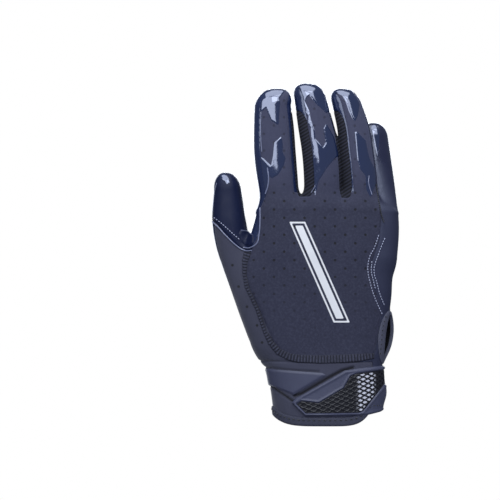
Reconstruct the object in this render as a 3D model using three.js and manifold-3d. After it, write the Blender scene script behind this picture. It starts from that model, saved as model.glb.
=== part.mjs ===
// Football receiver glove for the right hand, size large, filled out as if worn.
// Millimetres. +Z runs from the wrist to the fingertips, the back of the hand
// faces -Y and the palm faces +Y, and the little finger is on the +X side.
// The origin is the centre of the wrist opening, level with its lowest edge.

import * as THREE from 'three';
import { LoftGeometry } from 'three/addons/geometries/LoftGeometry.js';
import { mergeVertices } from 'three/addons/utils/BufferGeometryUtils.js';
import Module from 'manifold-3d';

const wasm = await Module();
wasm.setup();

// Driving dimensions
const WALL = 1.5; // thickness of every sewn panel
const GAP = 0.3; // clearance that two neighbouring panels keep at a seam
const REACH = 60; // how far a cutting block goes past the glove
const BODY_SIDES = 30; // facets round the hand
const FINGER_SIDES = 12; // facets round a finger or the thumb
const BODY_SQUARENESS = 2.5; // exponent of the hand's rounded section
const FINGER_SQUARENESS = 2.2; // exponent of a finger's rounded section
const TIP_BLUNTNESS = 0.85; // below 1 a fingertip is blunter than an ellipse
const SEAM_SHARE = 0.72; // share of a finger's half width that its back panel covers
const SIDE_SHARE = 0.86; // share of a finger's half depth that its gusset covers
const SIDE_MARGIN = 1.0; // how far a gusset's cutting block goes past the finger
const BACK_TIP_SHARE = 0.72; // where the back panel ends on the rounded fingertip
const SIDE_TIP_SHARE = 0.45; // where the gusset ends on the rounded fingertip
const BACK_START = 140; // height where the fingers' backs join the back panel
const ROUND_MARGIN = 0.15; // how far a cutting block round a whole finger goes past it
const CUFF_TOP = 44.8; // height of the seam between the back panel and the cuff
const HEM_HEIGHT = 6; // height of the binding round the wrist opening
const HEM_SWELL = 0.9; // how far the binding stands out of the cuff
const HEM_RISE = 10; // how far the hem climbs from its middle to both sides
const HEM_MIDDLE = -2; // where the hem is lowest
const HEM_HALF_WIDTH = 39; // from there to the side of the cuff
const STRAP_THICKNESS = 2.0; // moulded closure strap
const TAB_THICKNESS = 1.6; // smooth tab on the thumb side of the cuff
const MESH_THICKNESS = 1.0; // mesh set into the strap
const CLOSURE_WRAP = 6; // how far strap and tab wrap round to the palm side
const VENT_BAND = 2.4; // how far the vent's binding reaches past the vent's edge
const VENT_LIP = 1; // how far that binding covers the vent's edge
const VENT_SWELL = 6.0; // most that the binding may stand out of the side
const VENT_INSIDE = 25; // the vent cuts only the side that lies past this

// How far towards the palm each panel of the back reaches
const BACK_DEPTH = {
  thumb_back: 10.5, back_panel: -2, radial_gusset: 6, cuff_back: 4,
};

// Sections of the hand from the cuff to the finger roots
const HAND = [
  { z: -4, left: -36.5, right: 35.5, back: -20.5, palm: 20.5 },
  { z: 10, left: -37.8, right: 36.6, back: -21.0, palm: 21.0 },
  { z: 28, left: -40.3, right: 38.0, back: -20.2, palm: 19.5 },
  { z: 44, left: -44.4, right: 37.6, back: -19.5, palm: 17.5 },
  { z: 56, left: -52.4, right: 39.4, back: -18.8, palm: 17.0 },
  { z: 72, left: -57.2, right: 42.0, back: -18.2, palm: 17.0 },
  { z: 90, left: -60.2, right: 44.8, back: -17.6, palm: 16.5 },
  { z: 108, left: -59.6, right: 46.6, back: -17.0, palm: 16.0 },
  { z: 126, left: -55.6, right: 48.5, back: -15.6, palm: 15.0 },
  { z: 140, left: -51.8, right: 49.0, back: -13.8, palm: 13.8 },
  { z: 148, left: -50.0, right: 48.6, back: -12.4, palm: 12.8 },
];
const HAND_TIP = { rise: 12, x: -1, y: 0 };

// Cushions and hollow of the palm: how far each rises from the plain section,
// where it is highest, and how far it spreads
const PALM_RELIEF = [
  { rise: 5.0, x: -37, z: 80, spreadX: 15, spreadZ: 27 },
  { rise: 3.5, x: 25, z: 68, spreadX: 13, spreadZ: 27 },
  { rise: -2.5, x: -4, z: 100, spreadX: 14, spreadZ: 24 },
];

// Centre line and half sizes of the thumb and fingers; roll turns the back of
// the finger about +Z, so that a positive roll shows its thumb side
const DIGITS = {
  thumb: {
    roll: -14,
    rows: [
      { z: 58, x: -41.0, y: 2.0, width: 9.5, depth: 12.0 },
      { z: 74, x: -48.6, y: 4.0, width: 10.4, depth: 12.0 },
      { z: 90, x: -55.2, y: 6.0, width: 10.9, depth: 11.8 },
      { z: 108, x: -61.4, y: 8.0, width: 11.5, depth: 11.5 },
      { z: 126, x: -66.8, y: 9.5, width: 11.9, depth: 11.2 },
      { z: 144, x: -69.4, y: 10.5, width: 11.9, depth: 10.8 },
      { z: 164, x: -71.0, y: 12.0, width: 10.3, depth: 9.8 },
    ],
    tip: { rise: 13, x: -71.5, y: 12.5 },
  },
  index: {
    roll: 4,
    rows: [
      { z: 122, x: -32.5, y: 0.0, width: 12.4, depth: 12.5 },
      { z: 150, x: -33.4, y: 0.0, width: 13.2, depth: 11.0 },
      { z: 192, x: -37.5, y: 2.0, width: 13.5, depth: 10.0 },
      { z: 224, x: -38.0, y: 5.5, width: 12.9, depth: 9.6 },
    ],
    tip: { rise: 12, x: -35.6, y: 7.0 },
  },
  middle: {
    roll: 22,
    rows: [
      { z: 122, x: -5.6, y: -1.0, width: 12.6, depth: 13.0 },
      { z: 150, x: -4.0, y: -1.0, width: 13.4, depth: 11.5 },
      { z: 165, x: -3.5, y: -0.5, width: 13.6, depth: 10.9 },
      { z: 192, x: -5.6, y: 1.0, width: 13.4, depth: 10.4 },
      { z: 208, x: -8.4, y: 3.0, width: 13.1, depth: 10.1 },
      { z: 229, x: -13.0, y: 7.0, width: 12.2, depth: 9.6 },
    ],
    tip: { rise: 10.6, x: -15.2, y: 8.5 },
  },
  ring: {
    roll: 26,
    rows: [
      { z: 122, x: 20.6, y: 0.0, width: 11.8, depth: 12.0 },
      { z: 150, x: 22.2, y: 0.5, width: 12.4, depth: 10.8 },
      { z: 165, x: 22.4, y: 1.0, width: 12.6, depth: 10.2 },
      { z: 192, x: 20.3, y: 3.5, width: 12.1, depth: 9.8 },
      { z: 212, x: 17.5, y: 6.5, width: 11.7, depth: 9.4 },
      { z: 225, x: 13.4, y: 8.8, width: 10.8, depth: 9.1 },
    ],
    tip: { rise: 11, x: 9.8, y: 10.5 },
  },
  pinky: {
    roll: 24,
    rows: [
      { z: 118, x: 36.5, y: 1.5, width: 10.6, depth: 11.5 },
      { z: 136, x: 38.2, y: 4.5, width: 10.6, depth: 10.2 },
      { z: 150, x: 38.5, y: 8.5, width: 10.4, depth: 9.8 },
      { z: 165, x: 37.4, y: 13.5, width: 10.2, depth: 9.4 },
      { z: 192, x: 34.2, y: 19.0, width: 10.0, depth: 9.0 },
      { z: 202, x: 33.2, y: 20.5, width: 9.6, depth: 8.8 },
    ],
    tip: { rise: 10.4, x: 32.4, y: 21.5 },
  },
};

// Strips between two fingers: the finger on each side, and where they meet
const GUSSETS = [
  { name: 'gusset_index_middle', thumbSide: 'index', littleSide: 'middle', x: -18.8, y: 0.5, z: 157 },
  { name: 'gusset_middle_ring', thumbSide: 'middle', littleSide: 'ring', x: 10.6, y: 0.5, z: 156 },
  { name: 'gusset_ring_pinky', thumbSide: 'ring', littleSide: 'pinky', x: 31.6, y: 4.5, z: 148 },
];
const GUSSET_ROOT = { halfWidth: 6, halfDepth: 4.5, height: 12 };

// Where each digit's back leaves the back panel, and where its front leaves the palm
const DIGIT_BACKS = [
  { name: 'index_back', digit: 'index', from: 156 },
  { name: 'middle_back', digit: 'middle', from: 158 },
  { name: 'ring_back', digit: 'ring', from: 158 },
];
const DIGIT_FRONTS = [
  { name: 'thumb_front', digit: 'thumb', from: 112 },
  { name: 'index_front', digit: 'index', from: 150 },
  { name: 'middle_front', digit: 'middle', from: 152 },
  { name: 'ring_front', digit: 'ring', from: 150 },
  { name: 'little_finger', digit: 'pinky', from: 142 },
];

// Seams of the back, seen from the front: x to the right, z up
const BACK_PANEL_SEAM = [
  [-32.2, 51.1], [-25.2, 46.9], [-5.6, 44.8], [15.4, 44.8], [29.4, 46.6], [33.2, 52.0],
  [37.4, 78.0], [35.4, 87.5], [31.5, 98.0], [29.8, 108.5], [30.5, 114.1], [35.7, 129.5],
  [37.1, 145.0], [35.0, 160.0], [-42.0, 160.0], [-47.4, 152.0], [-47.6, 142.0],
  [-49.0, 133.0], [-53.9, 122.5], [-57.4, 114.1], [-57.4, 105.0], [-54.6, 94.5],
  [-49.0, 84.0], [-43.4, 70.0], [-37.8, 58.1],
];
const THUMB_BACK_SEAM = [
  [-90, 153.0], [-82.6, 146.3], [-57.5, 123.0], [-55.4, 130.0], [-55.4, 190.0], [-90, 190.0],
];
const RADIAL_GUSSET_SEAM = [
  [-90, CUFF_TOP], [12.0, CUFF_TOP], [-20.0, 60.0], [-44.0, 100.0], [-53.0, 124.0],
  [-56.0, 126.0], [-90, 160.0],
];
const CUFF_BACK_SEAM = [
  [-90, -20], [31.0, -20], [31.0, CUFF_TOP], [-90, CUFF_TOP],
];

// Pieces that lie on the back of the cuff, seen from the front
const WRIST_TAB_OUTLINE = [
  [-50, 27.0], [-39.2, 27.4], [-25.4, 22.6], [-3.4, 35.6], [-8.0, 37.2], [-50, 38.4],
];
const STRAP_OUTLINE = [
  [60, 39.2], [37.8, 41.8], [11.9, 38.8], [-5.6, 31.0], [-24.8, 21.6], [-24.8, 17.0],
  [-18.2, 8.4], [28.0, 8.4], [40.6, 10.8], [60, 10.8],
];
const MESH_OUTLINE = [
  [13.4, 35.4], [33.0, 38.2], [35.6, 27.8], [25.4, 11.6], [-15.4, 10.8], [-21.6, 15.4],
  [-6.2, 17.0], [8.4, 25.0],
];
// Vent on the little finger side, seen from that side: y to the palm, z up
const VENT = { y: 0.5, bottom: 47.0, top: 76.5, width: 6.0 };
// How far its binding stands out, seen from the front
const VENT_BINDING_OUTLINE = [
  [25, 43.0], [39.4, 43.0], [41.6, 52.5], [44.6, 60.0], [45.6, 67.5], [45.2, 73.5], [42.0, 80.5],
  [25, 80.5],
];

function curvePoint(angle, halfWidth, halfDepth, squareness) {
  const across = Math.cos(angle);
  const through = Math.sin(angle);
  const u = halfWidth * Math.sign(across) * Math.abs(across) ** (2 / squareness);
  const v = halfDepth * Math.sign(through) * Math.abs(through) ** (2 / squareness);
  return [u, v];
}

// A level section: local (u, v) points turned by the roll and moved to the centre
function levelSection(points, centre, roll) {
  const turn = THREE.MathUtils.degToRad(roll);
  return points.map(([u, v]) => new THREE.Vector3(
    centre.x + u * Math.cos(turn) - v * Math.sin(turn),
    centre.y + u * Math.sin(turn) + v * Math.cos(turn),
    centre.z,
  ));
}

function roundSection(row, grow, sides, squareness, roll) {
  const points = [];
  for (let i = 0; i < sides; i++) {
    const angle = (i / sides) * 2 * Math.PI;
    points.push(curvePoint(angle, row.width + grow, row.depth + grow, squareness));
  }
  return levelSection(points, row, roll);
}

// Rows that round off the end of a loft, from its last row to the tip
function roundedEnd(last, tip, grow) {
  const rise = tip.rise + grow;
  return [30, 55, 76].map((degrees) => {
    const angle = THREE.MathUtils.degToRad(degrees);
    const along = Math.sin(angle);
    const left = Math.cos(angle) ** TIP_BLUNTNESS;
    return {
      z: last.z + rise * along,
      x: THREE.MathUtils.lerp(last.x, tip.x, along),
      y: THREE.MathUtils.lerp(last.y, tip.y, along),
      width: (last.width + grow) * left - grow,
      depth: (last.depth + grow) * left - grow,
    };
  });
}

function loftSolid(sections) {
  return solidOf(new LoftGeometry(sections, { closed: true, capStart: true, capEnd: true }));
}

function solidOf(geometry) {
  const plain = new THREE.BufferGeometry();
  plain.setAttribute('position', geometry.attributes.position);
  plain.setIndex(geometry.index);
  const merged = mergeVertices(plain, 1e-4);
  return new wasm.Manifold(new wasm.Mesh({
    numProp: 3,
    vertProperties: new Float32Array(merged.attributes.position.array),
    triVerts: new Uint32Array(merged.index.array),
  }));
}

function geometryOf(solid) {
  const mesh = solid.getMesh();
  const geometry = new THREE.BufferGeometry();
  geometry.setAttribute('position', new THREE.BufferAttribute(mesh.vertProperties, 3));
  geometry.setIndex(new THREE.BufferAttribute(mesh.triVerts, 1));
  geometry.computeVertexNormals();
  return geometry;
}

function join(solids) {
  return solids.reduce((all, next) => all.add(next));
}

// Raises the palm side of a section by the cushions and the hollow of the palm
function withPalmRelief(section, row) {
  for (const point of section) {
    const share = Math.max(0, (point.y - row.y) / row.depth);
    for (const spot of PALM_RELIEF) {
      const away = ((point.x - spot.x) / spot.spreadX) ** 2 + ((point.z - spot.z) / spot.spreadZ) ** 2;
      point.y += spot.rise * share * Math.exp(-away);
    }
  }
  return section;
}

// The hand from the cuff to the finger roots, with every side moved out by grow
function handSolid(grow) {
  const rows = HAND.map((row) => ({
    z: row.z,
    x: (row.left + row.right) / 2,
    y: (row.back + row.palm) / 2,
    width: (row.right - row.left) / 2,
    depth: (row.palm - row.back) / 2,
  }));
  const all = rows.concat(roundedEnd(rows[rows.length - 1], HAND_TIP, grow));
  return loftSolid(all.map((row) => withPalmRelief(
    roundSection(row, grow, BODY_SIDES, BODY_SQUARENESS, 0), row,
  )));
}

function digitSolid(digit, grow) {
  const last = digit.rows[digit.rows.length - 1];
  const all = digit.rows.concat(roundedEnd(last, digit.tip, grow));
  return loftSolid(all.map((row) => roundSection(row, grow, FINGER_SIDES, FINGER_SQUARENESS, digit.roll)));
}

function gloveSolid(grow) {
  return join([handSolid(grow), ...Object.values(DIGITS).map((digit) => digitSolid(digit, grow))]);
}

// Moves each side of a closed outline out by grow and joins them at sharp corners
function grownOutline(outline, grow) {
  const count = outline.length;
  const area = outline.reduce((sum, [x, z], i) => {
    const [nextX, nextZ] = outline[(i + 1) % count];
    return sum + (x * nextZ - nextX * z) / 2;
  }, 0);
  const outward = Math.sign(area) * grow;
  return outline.map(([x, z], i) => {
    const [beforeX, beforeZ] = outline[(i + count - 1) % count];
    const [afterX, afterZ] = outline[(i + 1) % count];
    const into = new THREE.Vector2(x - beforeX, z - beforeZ).normalize();
    const out = new THREE.Vector2(afterX - x, afterZ - z).normalize();
    const normal = new THREE.Vector2(into.y + out.y, -into.x - out.x);
    normal.multiplyScalar(2 * outward / normal.lengthSq());
    return [x + normal.x, z + normal.y];
  });
}

function blockFrom(outline, grow, depth, alongAxis) {
  const points = grownOutline(outline, grow).map(([a, b]) => new THREE.Vector2(a, b));
  const geometry = new THREE.ExtrudeGeometry(new THREE.Shape(points), { depth, bevelEnabled: false });
  geometry.applyMatrix4(alongAxis);
  return solidOf(geometry);
}

// A block with the outline seen from the front, from y = from to y = to
function frontBlock(outline, grow, from, to) {
  const place = new THREE.Matrix4().makeBasis(
    new THREE.Vector3(1, 0, 0), new THREE.Vector3(0, 0, 1), new THREE.Vector3(0, -1, 0),
  ).setPosition(0, to + grow, 0);
  return blockFrom(outline, grow, to - from + 2 * grow, place);
}

// A block with the outline seen from the little finger side, from x = from to x = to
function sideBlock(outline, grow, from, to) {
  const place = new THREE.Matrix4().makeBasis(
    new THREE.Vector3(0, 1, 0), new THREE.Vector3(0, 0, 1), new THREE.Vector3(1, 0, 0),
  ).setPosition(from - grow, 0, 0);
  return blockFrom(outline, grow, to - from + 2 * grow, place);
}

// A block that follows a finger, between two shares of its half sizes, u across
// it and v through it, with a margin past the surface where a share is 1
function digitBlock(digit, span, grow) {
  const last = digit.rows[digit.rows.length - 1];
  const rows = digit.rows.filter((row) => row.z > span.from);
  const bottom = { ...rows[0], z: span.from - grow };
  const top = {
    ...last,
    x: THREE.MathUtils.lerp(last.x, digit.tip.x, span.tipShare),
    y: THREE.MathUtils.lerp(last.y, digit.tip.y, span.tipShare),
    z: last.z + digit.tip.rise * span.tipShare + grow,
  };
  return loftSolid([bottom, ...rows, top].map((row) => {
    const uFrom = span.u[0] * row.width + span.uMargin[0] - grow;
    const uTo = span.u[1] * row.width + span.uMargin[1] + grow;
    const vFrom = span.v[0] * row.depth - grow;
    const vTo = span.v[1] * row.depth + grow;
    return levelSection([[uFrom, vFrom], [uTo, vFrom], [uTo, vTo], [uFrom, vTo]], row, digit.roll);
  }));
}

// The back of a finger from a height up
function digitBack(digit, from, grow) {
  const span = {
    from, tipShare: BACK_TIP_SHARE,
    u: [-SEAM_SHARE, SEAM_SHARE], uMargin: [0, 0], v: [-1.6, -0.25],
  };
  return digitBlock(digit, span, grow);
}

// A whole finger from a height up
function digitRound(digit, from, grow) {
  const above = [[-2 * REACH, from], [2 * REACH, from], [2 * REACH, 5 * REACH], [-2 * REACH, 5 * REACH]];
  return digitSolid(digit, ROUND_MARGIN + grow).intersect(frontBlock(above, grow, -REACH, REACH));
}

// One side of a finger, from its root up: side 1 faces the little finger, -1 the thumb
function digitSide(digit, side, from, grow) {
  const span = {
    from, tipShare: SIDE_TIP_SHARE,
    u: side > 0 ? [SEAM_SHARE, 1] : [-1, -SEAM_SHARE],
    uMargin: side > 0 ? [0, SIDE_MARGIN] : [-SIDE_MARGIN, 0],
    v: [-SIDE_SHARE, SIDE_SHARE],
  };
  return digitBlock(digit, span, grow);
}

function gussetBlock(gusset, grow) {
  const { halfWidth, halfDepth, height } = GUSSET_ROOT;
  const root = frontBlock([
    [gusset.x - halfWidth, gusset.z - height / 2], [gusset.x + halfWidth, gusset.z - height / 2],
    [gusset.x + halfWidth, gusset.z + height / 2], [gusset.x - halfWidth, gusset.z + height / 2],
  ], grow, gusset.y - halfDepth, gusset.y + halfDepth);
  return join([
    root,
    digitSide(DIGITS[gusset.thumbSide], 1, gusset.z, grow),
    digitSide(DIGITS[gusset.littleSide], -1, gusset.z, grow),
  ]);
}

// Height of the hem's lower edge: lowest near the middle, higher at both sides
function hemHeight(x) {
  return HEM_RISE * Math.min(1, Math.abs((x - HEM_MIDDLE) / HEM_HALF_WIDTH)) ** 3;
}

// Everything from a low level up to the hem's lower edge raised by to
function hemOutline(from, to) {
  const points = [];
  for (let x = -REACH; x <= REACH; x += 10) {
    points.push([x, hemHeight(x) + to]);
  }
  return [[-REACH, from], [REACH, from], ...points.reverse()];
}

// The pointed oval of the vent, with its edge moved out by extra
function ventOutline(extra) {
  const points = [];
  const middle = (VENT.bottom + VENT.top) / 2;
  const halfHeight = (VENT.top - VENT.bottom) / 2 + extra;
  for (let i = 0; i < 12; i++) {
    const [along, across] = curvePoint((i / 12) * 2 * Math.PI, halfHeight, VENT.width / 2 + extra, 1.8);
    points.push([VENT.y - across, middle + along]);
  }
  return points;
}

// A layer of the given thickness that lies on the cuff inside an outline
function cuffLayer(outline, thickness) {
  const layer = handSolid(GAP + thickness).subtract(handSolid(GAP));
  return layer.intersect(frontBlock(outline, 0, -REACH, CLOSURE_WRAP));
}

const cloth = new THREE.MeshStandardMaterial({ color: 0x35384a, roughness: 0.85, metalness: 0 });
const knit = new THREE.MeshStandardMaterial({ color: 0x15171c, roughness: 0.95, metalness: 0 });
const film = new THREE.MeshStandardMaterial({ color: 0x283050, roughness: 0.25, metalness: 0 });
const gripSkin = new THREE.MeshStandardMaterial({ color: 0x2c3a5e, roughness: 0.15, metalness: 0 });
const moulded = new THREE.MeshStandardMaterial({ color: 0x3c3f55, roughness: 0.5, metalness: 0 });

const group = new THREE.Group();

function addPiece(name, solid, material) {
  const mesh = new THREE.Mesh(geometryOf(solid), material);
  mesh.name = name;
  group.add(mesh);
}

// Skin: the whole glove as one wall, open at the wrist, and its vent
const hollow = gloveSolid(-WALL);
const belowHemTop = frontBlock(hemOutline(-REACH, HEM_HEIGHT), 0, -REACH, REACH);
const belowSkin = frontBlock(hemOutline(-REACH, HEM_HEIGHT), GAP, -REACH, REACH);
const belowHem = frontBlock(hemOutline(-REACH, 0), 0, -REACH, REACH);
const ventHole = sideBlock(ventOutline(0), 0, VENT_INSIDE, REACH);
let skin = gloveSolid(0).subtract(hollow).subtract(belowSkin).subtract(ventHole);

// Takes the part of the skin inside a block, and leaves a seam gap round it
function takePanel(name, block, material) {
  addPiece(name, skin.intersect(block(0)), material);
  skin = skin.subtract(block(GAP));
}

// The block of the back inside a seam, as deep as that panel reaches
function seamBlock(name, seam, grow) {
  return frontBlock(seam, grow, -REACH, BACK_DEPTH[name]);
}

// Sewn panels, in the order in which they overlap at the seams
for (const gusset of GUSSETS) {
  takePanel(gusset.name, (grow) => gussetBlock(gusset, grow), knit);
}
takePanel('thumb_back', (grow) => seamBlock('thumb_back', THUMB_BACK_SEAM, grow), film);
for (const { name, digit, from } of DIGIT_BACKS) {
  takePanel(name, (grow) => digitBack(DIGITS[digit], from, grow), cloth);
}
takePanel('back_panel', (grow) => join([
  seamBlock('back_panel', BACK_PANEL_SEAM, grow),
  ...DIGIT_BACKS.map(({ digit }) => digitBack(DIGITS[digit], BACK_START, grow)),
]), cloth);
takePanel('radial_gusset', (grow) => seamBlock('radial_gusset', RADIAL_GUSSET_SEAM, grow), cloth);
takePanel('cuff_back', (grow) => seamBlock('cuff_back', CUFF_BACK_SEAM, grow), cloth);
for (const { name, digit, from } of DIGIT_FRONTS) {
  takePanel(name, (grow) => digitRound(DIGITS[digit], from, grow), gripSkin);
}
addPiece('palm', skin, gripSkin);

// Binding round the wrist opening
const hemRing = handSolid(HEM_SWELL).subtract(hollow).intersect(belowHemTop).subtract(belowHem);
addPiece('hem_binding', hemRing, knit);

// Binding round the vent
const ventRing = handSolid(GAP + VENT_SWELL).subtract(handSolid(GAP))
  .intersect(frontBlock(VENT_BINDING_OUTLINE, 0, -REACH, REACH))
  .intersect(sideBlock(ventOutline(VENT_BAND), 0, VENT_INSIDE, REACH))
  .subtract(sideBlock(ventOutline(-VENT_LIP), 0, 0, REACH + VENT_SWELL));
addPiece('vent_binding', ventRing, knit);

// Closure: tab, strap and the mesh set into the strap
const overHem = frontBlock(hemOutline(-REACH, HEM_HEIGHT), 2 * GAP, -REACH, REACH);
addPiece('wrist_tab', cuffLayer(WRIST_TAB_OUTLINE, TAB_THICKNESS), moulded);
addPiece('closure_strap', cuffLayer(STRAP_OUTLINE, STRAP_THICKNESS)
  .subtract(frontBlock(MESH_OUTLINE, 0, -REACH, REACH)).subtract(overHem), moulded);
addPiece('strap_mesh', cuffLayer(grownOutline(MESH_OUTLINE, -GAP), MESH_THICKNESS).subtract(overHem), knit);

export default group;
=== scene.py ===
import math

import bpy
import numpy as np
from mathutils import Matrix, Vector
from mathutils.kdtree import KDTree


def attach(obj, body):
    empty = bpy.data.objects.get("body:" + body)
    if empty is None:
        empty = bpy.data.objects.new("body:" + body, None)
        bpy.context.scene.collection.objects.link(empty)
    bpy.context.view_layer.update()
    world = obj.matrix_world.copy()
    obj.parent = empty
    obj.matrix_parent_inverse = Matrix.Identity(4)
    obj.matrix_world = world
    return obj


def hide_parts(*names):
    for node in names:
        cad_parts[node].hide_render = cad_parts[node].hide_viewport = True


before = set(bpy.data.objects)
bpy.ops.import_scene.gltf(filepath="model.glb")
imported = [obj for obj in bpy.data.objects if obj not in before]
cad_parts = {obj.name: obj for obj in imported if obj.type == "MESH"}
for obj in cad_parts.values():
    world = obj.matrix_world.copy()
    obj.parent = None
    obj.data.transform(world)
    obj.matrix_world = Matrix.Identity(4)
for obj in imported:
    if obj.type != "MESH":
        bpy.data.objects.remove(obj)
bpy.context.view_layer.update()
bpy.ops.object.select_all(action="DESELECT")

# Studio. A level camera looks straight at the back of the hand. The glove stands before a white backdrop
# in a grey room. Its floor is unseen and stops no light, so it shows from below too. A large soft light
# hangs at the upper left, smaller ones above, beside and behind; two of these aren't mirrored in the film.
MM = 0.001
# The photograph: its size and its scale, and the pixel that shows the middle of the wrist opening
PHOTO_SIZE = 500
PIXEL = 0.7
WRIST_PIXEL = (328, 425)
CAMERA_DISTANCE = 2.5
SENSOR = 36.0

across, up = ((PHOTO_SIZE / 2 - WRIST_PIXEL[0]) * PIXEL * MM, (WRIST_PIXEL[1] - PHOTO_SIZE / 2) * PIXEL * MM)
bpy.ops.object.camera_add(location=(across, -CAMERA_DISTANCE, up), rotation=(math.pi / 2, 0, 0))
camera = bpy.context.object
camera.data.sensor_width = SENSOR
camera.data.lens = SENSOR * CAMERA_DISTANCE / (PHOTO_SIZE * PIXEL * MM)
camera.data.clip_end = 50
bpy.context.scene.camera = camera
bpy.context.scene.view_settings.view_transform = "Standard"

LIGHTS = {
    "overhead_left": {"place": (-0.49, -1.29, 1.08), "size": (1.86, 1.3), "power": 19.3},
    "overhead_right": {"place": (0.36, -0.98, 1.22), "size": (1.0, 0.8), "power": 6},
    "top": {"place": (0.0, -0.2, 1.6), "size": (1.6, 1.2), "power": 14},
    "fill_left": {"place": (-1.6, -0.9, 0.6), "size": (1.0, 1.3), "power": 7, "mirrored": False},
    "fill_right": {"place": (1.1, -1.2, -0.1), "size": (1.0, 1.0), "power": 9, "mirrored": False},
    "behind": {"place": (0.15, 1.4, 0.52), "size": (0.8, 0.7), "power": 7},
    "low_behind": {"place": (-0.3, 0.78, 0.02), "size": (0.5, 1.0), "power": 3.2},
}
LIT_PLACE = Vector((0, 0, 0.12))
for name, lamp in LIGHTS.items():
    bpy.ops.object.light_add(type="AREA", location=lamp["place"])
    softbox = bpy.context.object
    softbox.name = name
    softbox.data.shape = "RECTANGLE"
    softbox.data.size, softbox.data.size_y = lamp["size"]
    softbox.data.energy = lamp["power"]
    softbox.data.color = (0.88, 0.93, 1.0)
    softbox.rotation_euler = (LIT_PLACE - softbox.location).to_track_quat("-Z", "Y").to_euler()
    softbox.visible_camera = False
    softbox.visible_glossy = lamp.get("mirrored", True)


def fill(made, inputs):
    """Sets a node's inputs, each to a number, a colour or another node's output."""
    for name, value in dict(inputs).items():
        socket = made.inputs[name]
        if isinstance(value, bpy.types.NodeSocket):
            made.id_data.links.new(value, socket)
        else:
            socket.default_value = (*value, 1) if socket.type == "RGBA" else value
    return made


def node(tree, kind, inputs=(), **settings):
    """Adds a node with its settings and its inputs."""
    made = tree.nodes.new("ShaderNode" + kind)
    for name, value in settings.items():
        setattr(made, name, value)
    return fill(made, inputs)


world = bpy.data.worlds.new("grey_room")
world.use_nodes = True
sky = world.node_tree
room = fill(sky.nodes["Background"], {"Color": (0.15, 0.165, 0.21)})
backdrop = node(sky, "Background", {"Color": (1, 1, 1)})
seen = node(sky, "LightPath").outputs["Is Camera Ray"]
shown = node(sky, "MixShader", {"Fac": seen, 1: room.outputs[0], 2: backdrop.outputs[0]})
fill(sky.nodes["World Output"], {"Surface": shown.outputs[0]})
bpy.context.scene.world = world

bpy.ops.mesh.primitive_plane_add(size=12, location=(0, 0, -0.0004))
floor = bpy.context.object
floor.name = "pale_floor"
paint = bpy.data.materials.new("pale_floor")
paint.use_nodes = True
fill(paint.node_tree.nodes["Principled BSDF"], {"Base Color": (0.8, 0.8, 0.8), "Roughness": 0.9})
floor.data.materials.append(paint)
floor.visible_camera = False
floor.visible_diffuse = False
floor.visible_glossy = False
floor.visible_shadow = False

# Grip palm. One piece of coated cloth makes the palm, the fronts of all digits, the whole little finger
# and the outer side of the hand. It is cut from the glove's skin, which is shaped here as on a form: the
# hand and each digit are rounded sections on a table, run together at their roots.

# Sizes are in millimetres: +Z to the fingertips, -Y out of the back, +X to the little finger.
# Hand: height, left and right side, back and palm
HAND = np.array([
    (-9, -36, 35, -20.2, 20.2), (-4, -36.5, 35.5, -20.5, 20.5), (10, -37.8, 36.6, -21, 21),
    (28, -40.3, 38, -20.2, 19.5), (44, -44.4, 37.6, -19.5, 17.5), (56, -52.4, 39.4, -18.8, 17),
    (72, -57.2, 41.4, -18.2, 17), (90, -60.2, 43.8, -17.6, 16.5), (108, -59.6, 44.6, -17, 16),
    (126, -55.6, 46.6, -15.6, 15), (140, -51.6, 47.4, -13.8, 13.8), (148, -49.1, 47.2, -12.4, 12.8),
])
# Digits: turn in degrees, how gently the digit runs into the hand, how far its tip rises and where it
# leans, and rows of height, centre across, centre through, half width, half depth
DIGITS = {
    "thumb": {"roll": -14, "blend": 9, "tip": (13, -71.5, 12.5), "rows": [
        (58, -41, 2, 9.5, 12), (74, -48.6, 4, 10.4, 12), (90, -55.2, 6, 10.9, 11.8),
        (108, -61.4, 8, 11.5, 11.5), (126, -66.8, 9.5, 11.9, 11.2), (144, -69.4, 10.5, 11.9, 10.8),
        (164, -70.3, 12, 9.6, 9.8)]},
    "index": {"roll": 4, "blend": 10, "tip": (12, -35.6, 7), "rows": [
        (122, -32.5, 0, 12.4, 12.5), (150, -33.2, 0, 13.4, 11), (192, -37.2, 2, 14.8, 10),
        (212, -38, 4.2, 14, 9.8), (224, -38.6, 5.5, 12.9, 9.6)]},
    "middle": {"roll": 22, "blend": 10, "tip": (10.6, -15.2, 8.5), "rows": [
        (122, -5.6, -1, 12.6, 13), (150, -4, -1, 13.4, 11.5), (165, -3.5, -0.5, 13.6, 10.9),
        (192, -4.7, 1, 14.2, 10.4), (208, -8, 3, 13.3, 10), (229, -12.3, 7, 11.5, 9.6)]},
    "ring": {"roll": 26, "blend": 10, "tip": (11, 9.8, 10.5), "rows": [
        (122, 20.6, 0, 11.8, 12), (150, 22.2, 0.5, 12.4, 10.8), (165, 22.4, 1, 12.6, 10.2),
        (192, 20, 3.5, 12.3, 9.8), (208, 17.9, 6, 11.9, 9.5), (225, 13.4, 8.8, 10.8, 9.1)]},
    "little": {"roll": 24, "blend": 7, "tip": (10.4, 32.4, 21.5), "rows": [
        (118, 36.5, 1.5, 10.6, 11.5), (136, 38.2, 4.5, 10.6, 10.2), (150, 38.5, 8.5, 10.4, 9.8),
        (165, 37.4, 13.5, 10.2, 9.4), (192, 34.2, 19, 10, 9), (202, 33.2, 20.5, 9.6, 8.8)]},
}
HAND_SQUARENESS = 2.5
DIGIT_SQUARENESS = 2.2
TIP_BLUNTNESS = 2 / 0.85
# How far a form fades out below its first row, and how much slimmer a digit's rough tube is
ROOT_FADE = 14
SLIM = 1.3
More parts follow.
